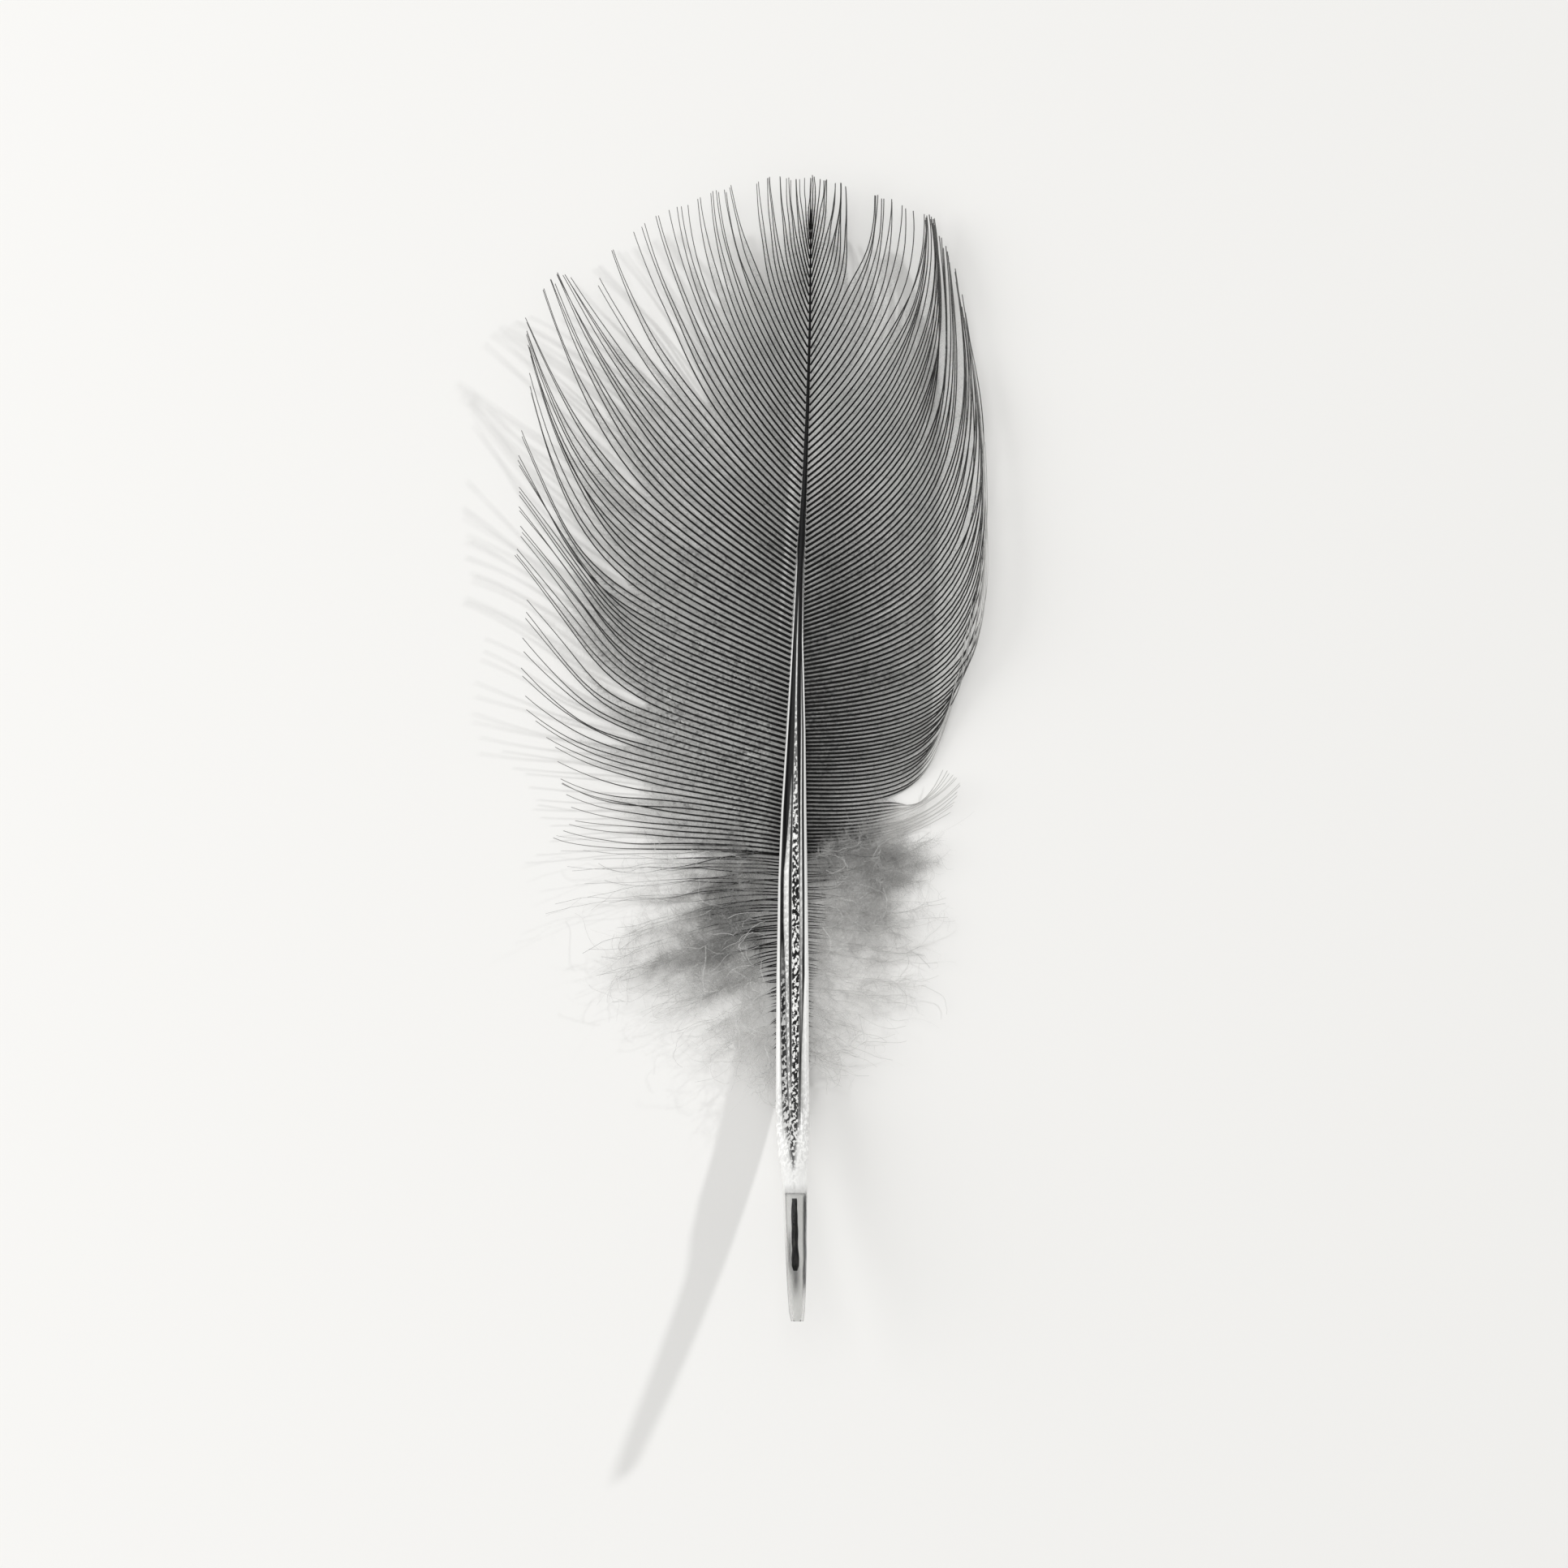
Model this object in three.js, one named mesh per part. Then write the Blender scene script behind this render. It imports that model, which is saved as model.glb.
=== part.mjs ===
// A turkey wing feather, lying on its back with the grooved underside of its shaft facing up.
// Millimetres. +Y runs from the quill to the tip, +X across the vane, +Z up from the surface
// that the feather rests on. The origin is under the middle of the feather.
import * as THREE from 'three';

// ---------------------------------------------------------------- driving dimensions

// The shaft, station by station from its tip to the end of the quill.
// y: place along the feather. x: where the shaft's middle line runs. width: across the shaft.
const SHAFT_LINE = [
  { y: 61.5, x: 6.41, width: 0.26 },
  { y: 48.4, x: 6.30, width: 0.36 },
  { y: 39.1, x: 6.04, width: 0.48 },
  { y: 29.8, x: 5.67, width: 0.62 },
  { y: 20.5, x: 5.15, width: 0.93 },
  { y: 12.2, x: 4.90, width: 1.36 },
  { y: 2.0, x: 4.72, width: 2.15 },
  { y: -7.3, x: 4.46, width: 2.88 },
  { y: -15.7, x: 4.35, width: 3.36 },
  { y: -25.9, x: 4.33, width: 3.70 },
  { y: -35.2, x: 4.30, width: 3.78 },
  { y: -43.5, x: 4.34, width: 3.86 },
  { y: -46.5, x: 4.42, width: 3.50 },
  { y: -48.5, x: 4.52, width: 3.05 },
  { y: -50.2, x: 4.60, width: 2.76 },
  { y: -54.0, x: 4.64, width: 2.60 },
  { y: -57.5, x: 4.72, width: 2.43 },
  { y: -61.2, x: 4.77, width: 2.14 },
  { y: -64.0, x: 4.80, width: 1.80 },
  { y: -65.1, x: 4.84, width: 1.40 },
];
const SHAFT_HEIGHT_RATIO = 0.86; // height of the shaft's section against its width
const SHAFT_STATIONS = 40;

// The groove under the rachis, and the round quill that it ends at.
const GROOVE_DEPTH = 0.34; // against half the section's height
const GROOVE_TOP_Y = 30;
const QUILL_TOP_Y = -46.5;
const SECTION_BLEND = 6; // length over which the groove fades in and out

// The hollow of the quill, open at its lower end, and the dried core inside it.
const QUILL_WALL = 0.3;
const QUILL_MOUTH_Y = -65.1;
const QUILL_HOLLOW_TOP_Y = -50.8;
const QUILL_HOLLOW_STATIONS = 7;
const PULP_LINE = [
  { y: -51.4, radius: 0.34 },
  { y: -53.5, radius: 0.44 },
  { y: -56.6, radius: 0.4 },
  { y: -57.8, radius: 0.5 },
  { y: -58.8, radius: 0.56 },
  { y: -59.5, radius: 0.3 },
];
const PULP_SIDES = 10;

// The lie of the feather: the shaft rests from REST_FOOT_Y to REST_HEAD_Y and lifts past both.
const REST_FOOT_Y = -22;
const REST_HEAD_Y = 34;
const QUILL_LIFT = 11; // at the end of the quill
const TIP_LIFT = 3.4; // at the tip of the vane
const FEATHER_FOOT_Y = -65.1;
const FEATHER_HEAD_Y = 65.1;

// The web: its thickness, how high it leaves the shaft, and how its two edges curl up.
const WEB_ROOT_THICKNESS = 0.5;
const WEB_TIP_THICKNESS = 0.3;
const WEB_REST_HEIGHT = 0.25;
const WEB_ROOT_RISE = 0.65;
const WEB_ROOT_REACH = 4;
const LEFT_CURL = { from: 15, rate: 0.011 };
const RIGHT_CURL = { from: 13, rate: 0.055 };
const ROOT_GAP = 0.3; // kept between the shaft and the web
const STEEPEST_ROOT = 31; // degrees from +Y; a barb that leaves more steeply starts as if at this

// How the barbs of a side run, by the place y where they cross the shaft's middle line. A barb
// leaves there by angle degrees from +Y. It holds that way for hold, and is drawn into its
// tip's way for draw, both as shares of the straight line from its root to its tip.
const LEFT_RUN = [
  { y: 58, angle: 4, hold: 0.3, draw: 0.3 },
  { y: 44, angle: 34, hold: 0.3, draw: 0.35 },
  { y: 28, angle: 49, hold: 0.3, draw: 0.32 },
  { y: 16, angle: 61, hold: 0.46, draw: 0.44 },
  { y: 8, angle: 69, hold: 0.52, draw: 0.44 },
  { y: -2, angle: 75, hold: 0.68, draw: 0.45 },
  { y: -6, angle: 72, hold: 0.45, draw: 0.35 },
  { y: -13, angle: 78, hold: 0.3, draw: 0.2 },
  { y: -38, angle: 100, hold: 0.3, draw: 0.3 },
];
const RIGHT_RUN = [
  { y: 58, angle: 4, hold: 0.3, draw: 0.3 },
  { y: 44, angle: 32, hold: 0.42, draw: 0.36 },
  { y: 36, angle: 46, hold: 0.36, draw: 0.35 },
  { y: 30, angle: 55, hold: 0.3, draw: 0.36 },
  { y: 22, angle: 58, hold: 0.45, draw: 0.48 },
  { y: 14, angle: 73, hold: 0.42, draw: 0.48 },
  { y: 7, angle: 85, hold: 0.46, draw: 0.4 },
  { y: -6, angle: 94, hold: 0.7, draw: 0.3 },
  { y: -13, angle: 92, hold: 0.42, draw: 0.28 },
  { y: -38, angle: 106, hold: 0.36, draw: 0.36 },
];

// Each lock of the web, by the barbs that bound and shape it: the place of the root, the tip,
// and the way the tip points, in degrees from +Y.
const barb = (root, tip, tipAngle) => ({ root, tip, tipAngle });

const LEFT_LOCKS = {
  vane_left_tip: [barb(55, [6, 64.5], 0), barb(51.5, [4, 65.1], 0), barb(44.5, [0, 64.5], 5)],
  vane_left_fan: [barb(42.5, [-2.5, 64], 5), barb(36.5, [-6, 62.5], 5), barb(28.5, [-13.5, 59], 20)],
  vane_left_upper: [
    barb(27, [-15.5, 57], 15), barb(24.5, [-20, 54.5], 30), barb(20.5, [-22.5, 54], 25),
    barb(17, [-24, 51.5], 15),
  ],
  vane_left_middle: [barb(15.5, [-26, 48.5], 20), barb(13, [-26.5, 46], 15), barb(9, [-25.5, 39], 15)],
  vane_left_lower: [
    barb(8, [-26.5, 36.5], 20), barb(5.5, [-26.7, 30.5], 35), barb(3.5, [-26.7, 27.5], 40),
    barb(0, [-26.5, 21], 40),
  ],
  vane_left_foot: [
    barb(-1.5, [-26, 15.5], 40), barb(-4, [-26.5, 10.5], 40), barb(-6, [-26.7, 4.5], 50),
    barb(-8.5, [-22.5, -3], 65), barb(-10, [-22.5, -5.5], 65), barb(-12.3, [-22.5, -10], 80),
  ],
};

const RIGHT_LOCKS = {
  vane_right_tip: [barb(55, [7, 64.5], 0), barb(52, [9, 64.5], 0), barb(45, [10.5, 64], -5)],
  vane_right_fan: [barb(44, [13.5, 63], 0), barb(40, [15, 62.5], 0), barb(36.2, [18, 61], -5)],
  vane_right_upper: [barb(34.7, [19.5, 60.5], 0), barb(29, [20, 60], -10), barb(22, [20.8, 59], -5)],
  vane_right_main: [
    barb(20.5, [21.7, 57.5], -5), barb(16.3, [23.5, 52], -5), barb(11, [25.2, 44.5], -5),
    barb(6, [26.5, 35], 2), barb(2, [26.7, 25], 8), barb(-2, [25.7, 13.5], 14), barb(-6, [23.8, 3], 24),
  ],
  vane_right_foot: [barb(-7.2, [22, -2.5], 25), barb(-10, [23.5, -4.5], 45), barb(-12, [23, -8], 60)],
};

// The down at the foot of each vane, as one soft cushion that reaches the ends of its fibres.
const LEFT_DOWN = {
  down_left: [
    barb(-13.6, [-21.5, -13.5], 85), barb(-17, [-21.5, -19], 90), barb(-21.5, [-19.5, -25], 100),
    barb(-27, [-14.5, -31], 105), barb(-38, [-2, -42], 115),
  ],
};
const RIGHT_DOWN = {
  down_right: [
    barb(-13.3, [23.5, -11], 65), barb(-18.5, [22.5, -18.5], 75), barb(-25, [21.5, -28], 85),
    barb(-31, [18.5, -34.5], 100), barb(-36.5, [12, -38.5], 105),
  ],
};
const DOWN_EDGE_THICKNESS = 0.6;
const DOWN_LOFT = 4.2; // how much thicker the down is in its middle

const RIBS_PER_BARB_SPAN = 4; // ribs of a lock's mesh between two of its stated barbs
const STEPS_ALONG_BARB = 9;
const NOTCH = 0.025; // how much every second rib falls short, against its length

// ---------------------------------------------------------------- finishes

const KERATIN = { color: 0xb9b9b6, roughness: 0.35, metalness: 0 };
const PULP = { color: 0x1d1c1c, roughness: 0.8, metalness: 0 };
const WEB = { color: 0x5c5c5b, roughness: 0.65, metalness: 0 };
const WEB_BARE = { color: 0x484848, roughness: 0.65, metalness: 0 };
const DOWN = { color: 0xa3a3a0, roughness: 0.9, metalness: 0 };

// ---------------------------------------------------------------- the lie of the feather

const radians = THREE.MathUtils.degToRad;

/** The value of one field of a list of stations, at y, on straight lines between them. */
function along(stations, y, field) {
  const last = stations.length - 1;
  if (y >= stations[0].y) return stations[0][field];
  if (y <= stations[last].y) return stations[last][field];
  const i = stations.findIndex((s) => s.y <= y);
  const [a, b] = [stations[i - 1], stations[i]];
  return THREE.MathUtils.mapLinear(y, a.y, b.y, a[field], b[field]);
}

/** How far the underside of the shaft stands above the surface at y. */
function lift(y) {
  if (y < REST_FOOT_Y) return QUILL_LIFT * ((REST_FOOT_Y - y) / (REST_FOOT_Y - FEATHER_FOOT_Y)) ** 2;
  if (y > REST_HEAD_Y) return TIP_LIFT * ((y - REST_HEAD_Y) / (FEATHER_HEAD_Y - REST_HEAD_Y)) ** 2;
  return 0;
}

/** The height of the web's middle surface at x, y. */
function webHeight(x, y) {
  const out = x - along(SHAFT_LINE, y, 'x');
  const curl = out < 0 ? LEFT_CURL : RIGHT_CURL;
  const past = Math.max(0, Math.abs(out) - curl.from);
  const root = WEB_ROOT_RISE * Math.exp(-((out / WEB_ROOT_REACH) ** 2));
  return lift(y) + WEB_REST_HEIGHT + root + curl.rate * past ** 2;
}

// ---------------------------------------------------------------- meshes

/** A closed mesh from rings of equal length, joined in order, with its two ends closed. */
function loftRings(rings) {
  const n = rings[0].length;
  const points = rings.flat();
  const index = [];
  for (let r = 0; r < rings.length - 1; r += 1) {
    for (let i = 0; i < n; i += 1) {
      const a = r * n + i;
      const b = r * n + ((i + 1) % n);
      index.push(a, b, b + n, a, b + n, a + n);
    }
  }
  for (const [ring, outward] of [[0, false], [rings.length - 1, true]]) {
    const centre = new THREE.Vector3();
    rings[ring].forEach((p) => centre.addScaledVector(p, 1 / n));
    points.push(centre);
    for (let i = 0; i < n; i += 1) {
      const a = ring * n + i;
      const b = ring * n + ((i + 1) % n);
      index.push(...(outward ? [a, b, points.length - 1] : [b, a, points.length - 1]));
    }
  }
  return facingOut(points, index);
}

/** A closed mesh from a grid of places, each with the height of its lower and upper side. */
function plateFromGrid(grid) {
  const rows = grid.length;
  const columns = grid[0].length;
  const points = [];
  for (const side of ['low', 'high']) {
    grid.flat().forEach((g) => points.push(new THREE.Vector3(g.x, g.y, g[side])));
  }
  const upper = rows * columns;
  const index = [];
  for (let r = 0; r < rows - 1; r += 1) {
    for (let c = 0; c < columns - 1; c += 1) {
      const a = r * columns + c;
      const [b, d] = [a + 1, a + columns];
      const e = d + 1;
      index.push(a, b, e, a, e, d);
      index.push(upper + a, upper + e, upper + b, upper + a, upper + d, upper + e);
    }
  }
  const rim = [];
  for (let c = 0; c < columns - 1; c += 1) rim.push(c);
  for (let r = 0; r < rows - 1; r += 1) rim.push(r * columns + columns - 1);
  for (let c = columns - 1; c > 0; c -= 1) rim.push((rows - 1) * columns + c);
  for (let r = rows - 1; r > 0; r -= 1) rim.push(r * columns);
  rim.forEach((a, i) => {
    const b = rim[(i + 1) % rim.length];
    index.push(a, upper + b, b, a, upper + a, upper + b);
  });
  return facingOut(points, index);
}

/** A geometry whose faces all point out, from points and faces that agree with each other. */
function facingOut(points, index) {
  let volume = 0;
  for (let i = 0; i < index.length; i += 3) {
    const [a, b, c] = [points[index[i]], points[index[i + 1]], points[index[i + 2]]];
    volume += a.dot(new THREE.Vector3().crossVectors(b, c));
  }
  if (volume < 0) {
    for (let i = 0; i < index.length; i += 3) [index[i], index[i + 1]] = [index[i + 1], index[i]];
  }
  const geometry = new THREE.BufferGeometry().setFromPoints(points);
  geometry.setIndex(index);
  geometry.computeVertexNormals();
  return geometry;
}

function part(name, geometry, finish) {
  const mesh = new THREE.Mesh(geometry, new THREE.MeshStandardMaterial(finish));
  mesh.name = name;
  return mesh;
}

// ---------------------------------------------------------------- the shaft

/** The corners of the shaft's section, on a half width and a half height of 1. */
function shaftSection(groove) {
  const side = [[0.45, -1], [0.86, -0.68], [1, -0.15], [0.97, 0.35], [0.8, 0.76], [0.52, 0.97]];
  const floor = [[0.24, 0.99 - 0.7 * groove], [0, 1 - groove]];
  const mirrored = [...side, floor[0]].reverse().map(([x, z]) => [-x, z]);
  return [...side, ...floor, ...mirrored];
}

/** One ring of the outside of the shaft at y: grooved on the rachis, round on the quill. */
function shaftRing(y) {
  const half = along(SHAFT_LINE, y, 'width') / 2;
  const height = half * SHAFT_HEIGHT_RATIO;
  const x = along(SHAFT_LINE, y, 'x');
  const fadeIn = THREE.MathUtils.smoothstep(GROOVE_TOP_Y - y, 0, SECTION_BLEND);
  const fadeOut = THREE.MathUtils.smoothstep(y - QUILL_TOP_Y, 0, SECTION_BLEND);
  const round = 1 - THREE.MathUtils.smoothstep(y - QUILL_TOP_Y, -SECTION_BLEND, SECTION_BLEND);
  return shaftSection(GROOVE_DEPTH * fadeIn * fadeOut).map(([u, v]) => {
    const length = Math.hypot(u, v);
    const section = new THREE.Vector2(u, v).lerp(new THREE.Vector2(u / length, v / length), round);
    return new THREE.Vector3(x + section.x * half, y, lift(y) + height + section.y * height);
  });
}

/** One ring of the wall of the quill's hollow at y. */
function hollowRing(y) {
  const half = along(SHAFT_LINE, y, 'width') / 2;
  const height = half * SHAFT_HEIGHT_RATIO;
  const x = along(SHAFT_LINE, y, 'x');
  return shaftSection(0).map(([u, v]) => {
    const length = Math.hypot(u, v);
    const across = (u / length) * (half - QUILL_WALL);
    const up = (v / length) * (height - QUILL_WALL);
    return new THREE.Vector3(x + across, y, lift(y) + height + up);
  });
}

function makeShaft() {
  const top = SHAFT_LINE[0].y;
  const stations = SHAFT_LINE.map((s) => s.y).filter((y) => y < QUILL_TOP_Y);
  for (let i = 0; i <= SHAFT_STATIONS; i += 1) {
    stations.push(THREE.MathUtils.lerp(top, QUILL_TOP_Y, i / SHAFT_STATIONS));
  }
  stations.sort((a, b) => b - a);
  const hollow = [];
  for (let i = 0; i < QUILL_HOLLOW_STATIONS; i += 1) {
    const t = i / (QUILL_HOLLOW_STATIONS - 1);
    hollow.push(THREE.MathUtils.lerp(QUILL_MOUTH_Y, QUILL_HOLLOW_TOP_Y, t));
  }
  return part('shaft', loftRings([...stations.map(shaftRing), ...hollow.map(hollowRing)]), KERATIN);
}

function makeDriedPulp() {
  const rings = PULP_LINE.map(({ y, radius }) => {
    const x = along(SHAFT_LINE, y, 'x');
    const z = lift(y) + (along(SHAFT_LINE, y, 'width') / 2) * SHAFT_HEIGHT_RATIO;
    return Array.from({ length: PULP_SIDES }, (_, i) => {
      const turn = (i / PULP_SIDES) * 2 * Math.PI;
      return new THREE.Vector3(x + radius * Math.cos(turn), y, z + radius * SHAFT_HEIGHT_RATIO * Math.sin(turn));
    });
  });
  return part('dried_pulp', loftRings(rings), PULP);
}

// ---------------------------------------------------------------- the web and the down

/** The curve that a barb follows in plan, from the side of the shaft to its tip. */
function barbCurve(b, side) {
  const run = side < 0 ? LEFT_RUN : RIGHT_RUN;
  const length = Math.hypot(b.tip[0] - along(SHAFT_LINE, b.root, 'x'), b.tip[1] - b.root);
  const angle = along(run, b.root, 'angle');
  const toward = (degrees) => new THREE.Vector2(side * Math.sin(radians(degrees)), Math.cos(radians(degrees)));
  const clear = along(SHAFT_LINE, b.root, 'width') / 2 + ROOT_GAP;
  const forward = clear / Math.tan(radians(Math.max(angle, STEEPEST_ROOT)));
  const root = new THREE.Vector2(along(SHAFT_LINE, b.root, 'x') + side * clear, b.root + forward);
  const tip = new THREE.Vector2(...b.tip);
  const reach = along(run, b.root, 'hold') * length - Math.hypot(clear, forward);
  const leave = root.clone().addScaledVector(toward(angle), reach);
  const arrive = tip.clone().addScaledVector(toward(b.tipAngle), -along(run, b.root, 'draw') * length);
  return new THREE.CubicBezierCurve(root, leave, arrive, tip);
}

/** The barb at t, from 0 at the first stated barb of a lock to 1 at its last. */
function barbBetween(barbs, t) {
  const place = t * (barbs.length - 1);
  const i = Math.min(Math.floor(place), barbs.length - 2);
  const f = place - i;
  const mix = (pick) => THREE.MathUtils.lerp(pick(barbs[i]), pick(barbs[i + 1]), f);
  const tip = [mix((b) => b.tip[0]), mix((b) => b.tip[1])];
  return barb(mix((b) => b.root), tip, mix((b) => b.tipAngle));
}

/** The grid of a lock: one row for each rib, from the shaft to the rib's end. */
function lockGrid(barbs, side, sides) {
  const ribs = (barbs.length - 1) * RIBS_PER_BARB_SPAN;
  return Array.from({ length: ribs + 1 }, (_, r) => {
    const curve = barbCurve(barbBetween(barbs, r / ribs), side);
    const reach = r % 2 ? 1 - NOTCH : 1;
    return Array.from({ length: STEPS_ALONG_BARB + 1 }, (__, s) => {
      const t = (s / STEPS_ALONG_BARB) * reach;
      const p = curve.getPoint(t);
      return { x: p.x, y: p.y, ...sides(p, t, r / ribs) };
    });
  });
}

/** A lock of the web: a thin sheet, thinner at its ends. */
function webSides(p, t) {
  const half = THREE.MathUtils.lerp(WEB_ROOT_THICKNESS, WEB_TIP_THICKNESS, t) / 2;
  const z = webHeight(p.x, p.y);
  return { low: z - half, high: z + half };
}

/** The down: as low as the web, and full in its middle. */
function downSides(p, t, across) {
  const low = webHeight(p.x, p.y) - WEB_REST_HEIGHT;
  const full = Math.sin(Math.PI * Math.min(1, 0.25 + 0.75 * t)) * Math.sin(Math.PI * (0.12 + 0.76 * across));
  return { low, high: low + DOWN_EDGE_THICKNESS + DOWN_LOFT * Math.max(0, full) };
}

function makeLocks(locks, side, sides, finish) {
  return Object.entries(locks).map(([name, barbs]) => {
    const bare = name.endsWith('_foot') ? WEB_BARE : finish;
    return part(name, plateFromGrid(lockGrid(barbs, side, sides)), bare);
  });
}

// ---------------------------------------------------------------- the feather

const feather = new THREE.Group();
feather.add(
  makeShaft(),
  makeDriedPulp(),
  ...makeLocks(LEFT_LOCKS, -1, webSides, WEB),
  ...makeLocks(RIGHT_LOCKS, 1, webSides, WEB),
  ...makeLocks(LEFT_DOWN, -1, downSides, DOWN),
  ...makeLocks(RIGHT_DOWN, 1, downSides, DOWN),
);

export default feather;
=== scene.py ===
"""Looks of a turkey wing feather that lies on its back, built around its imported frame.

The feather's own numbers are millimetres and degrees: +Y runs from the quill to the tip, +X across
the vane and +Z up. Meshes are written in metres.
"""

import logging
from dataclasses import dataclass, field
from enum import Enum
from typing import Any, Iterable, Sequence

import bpy
import numpy as np
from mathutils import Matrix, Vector


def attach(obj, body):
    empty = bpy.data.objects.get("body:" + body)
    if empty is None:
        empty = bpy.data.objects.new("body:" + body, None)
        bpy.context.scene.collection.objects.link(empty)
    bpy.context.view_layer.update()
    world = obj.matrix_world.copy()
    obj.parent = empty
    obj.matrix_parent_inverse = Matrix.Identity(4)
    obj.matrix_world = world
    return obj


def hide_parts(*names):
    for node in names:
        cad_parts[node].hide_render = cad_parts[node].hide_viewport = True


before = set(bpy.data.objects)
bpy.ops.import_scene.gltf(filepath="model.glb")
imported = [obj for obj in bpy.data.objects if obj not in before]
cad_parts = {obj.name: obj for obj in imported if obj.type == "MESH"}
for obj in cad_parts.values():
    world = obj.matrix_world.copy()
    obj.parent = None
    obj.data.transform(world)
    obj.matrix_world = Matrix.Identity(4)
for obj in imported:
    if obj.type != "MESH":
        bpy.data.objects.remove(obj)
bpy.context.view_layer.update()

LOG = logging.getLogger("feather")
MM = 0.001
MID = 0.5  # the middle of a noise pattern
BODY = "root"

Colour = tuple[float, float, float]
Span = tuple[float, float]  # two ends, or where a change starts and where it is whole


# ---------------------------------------------------------------- shader and geometry graphs


class Shade:
    """A socket of a node tree that can be used in arithmetic."""

    def __init__(self, graph: "Graph", socket: bpy.types.NodeSocket) -> None:
        """Keeps the graph that makes the nodes and the socket that is wrapped."""
        self.graph = graph
        self.socket = socket

    def _math(self, operation: str, first: Any, second: Any, clamp: bool = False) -> "Shade":
        """Adds one Math node.

        Args:
            operation: the node's operation.
            first: its first value.
            second: its second value.
            clamp: whether the result is kept from 0 to 1.

        Returns:
            The node's result.
        """
        settings = {"operation": operation, "use_clamp": clamp}
        return self.graph.value("ShaderNodeMath", settings, {0: first, 1: second})

    def __add__(self, other: Any) -> "Shade":
        """This value plus another."""
        return self._math("ADD", self, other)

    def __radd__(self, other: Any) -> "Shade":
        """Another value plus this one."""
        return self._math("ADD", other, self)

    def __sub__(self, other: Any) -> "Shade":
        """This value less another."""
        return self._math("SUBTRACT", self, other)

    def __rsub__(self, other: Any) -> "Shade":
        """Another value less this one."""
        return self._math("SUBTRACT", other, self)

    def __mul__(self, other: Any) -> "Shade":
        """This value times another."""
        return self._math("MULTIPLY", self, other)

    def __rmul__(self, other: Any) -> "Shade":
        """Another value times this one."""
        return self._math("MULTIPLY", other, self)

    def below(self, other: Any) -> "Shade":
        """1 where this value is less than another, and 0 elsewhere."""
        return self._math("LESS_THAN", self, other)

    def clamped(self) -> "Shade":
        """This value, kept from 0 to 1."""
        return self._math("ADD", self, 0.0, clamp=True)


class Graph:
    """A shader or geometry tree that is filled by calls and expressions."""

    def __init__(self, tree: bpy.types.NodeTree) -> None:
        """Takes the tree to fill, and empties it."""
        self.tree = tree
        tree.nodes.clear()

    def add(self, kind: str, settings: dict[str, Any] | None = None,
            inputs: dict[int | str, Any] | None = None) -> bpy.types.Node:
        """Adds a node.

        Args:
            kind: the node's type.
            settings: its properties.
            inputs: values or links of its sockets, by name or number.

        Returns:
            The node.
        """
        node = self.tree.nodes.new(kind)
        for name, value in (settings or {}).items():
            setattr(node, name, value)
        for key, value in (inputs or {}).items():
            self.join(node.inputs[key], value)
        return node

    def join(self, socket: bpy.types.NodeSocket, value: Any) -> None:
        """Links a value to a socket, or sets it there if it is plain."""
        if isinstance(value, Shade):
            value = value.socket
        if isinstance(value, bpy.types.NodeSocket):
            self.tree.links.new(value, socket)
        else:
            socket.default_value = value

    def value(self, kind: str, settings: dict[str, Any] | None = None,
              inputs: dict[int | str, Any] | None = None, output: int | str = 0) -> Shade:
        """Adds a node and returns one of its outputs, wrapped."""
        return Shade(self, self.add(kind, settings, inputs).outputs[output])

    def mix(self, factor: Any, first: Any, second: Any) -> Shade:
        """Mixes two colours.

        Args:
            factor: 0 for the first colour and 1 for the second.
            first: the first colour, with its alpha.
            second: the second colour, with its alpha.

        Returns:
            The mixed colour.
        """
        return self.value("ShaderNodeMix", {"data_type": "RGBA"}, {0: factor, 6: first, 7: second}, 2)

    def attribute(self, name: str) -> Shade:
        """A number that the mesh holds at each point."""
        return self.value("ShaderNodeAttribute", {"attribute_name": name}, output="Fac")

    def noise(self, scale: float, stretch: tuple[float, float, float] = (1.0, 1.0, 1.0),
              detail: float = 3.0) -> Shade:
        """Noise from 0 to 1 on object coordinates.

        Args:
            scale: waves in a metre.
            stretch: a factor on each axis.
            detail: how many finer waves are added.

        Returns:
            The noise.
        """
        place = self.value("ShaderNodeTexCoord", output="Object")
        drawn = self.value("ShaderNodeMapping", None, {"Vector": place, "Scale": stretch})
        return self.value("ShaderNodeTexNoise", None, {"Vector": drawn, "Scale": scale, "Detail": detail})

    def strokes(self, scale: float, turn: float) -> Shade:
        """Wavy slanting strokes from 0 to 1 on object coordinates.

        Args:
            scale: how closely the strokes follow one another.
            turn: how far they are turned about Z, in radians.

        Returns:
            The strokes.
        """
        place = self.value("ShaderNodeTexCoord", output="Object")
        turned = self.value("ShaderNodeMapping", None, {"Vector": place, "Rotation": (0.0, 0.0, turn)})
        return self.value("ShaderNodeTexWave", {"wave_type": "BANDS", "bands_direction": "Y"}, {
            "Vector": turned, "Scale": scale, "Distortion": 9.0, "Detail": 3.0, "Detail Scale": 1.6}, "Fac")

    def bump(self, strength: float, depth: float, height: Shade) -> Shade:
        """Small relief, as a normal.

        Args:
            strength: how much of the relief is seen.
            depth: how deep it is, in metres.
            height: its pattern, from 0 to 1.

        Returns:
            The normal.
        """
        return self.value("ShaderNodeBump", None, {"Strength": strength, "Distance": depth, "Height": height})

    def surface(self, colour: Any, roughness: float, **others: Any) -> Shade:
        """A surface of one stuff.

        Args:
            colour: its base colour.
            roughness: how rough it is.
            others: its other sockets, by name with _ for a space.

        Returns:
            The shader.
        """
        inputs = {name.replace("_", " "): value for name, value in others.items()}
        return self.value("ShaderNodeBsdfPrincipled", None, {
            "Base Color": colour, "Roughness": roughness, **inputs})


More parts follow.
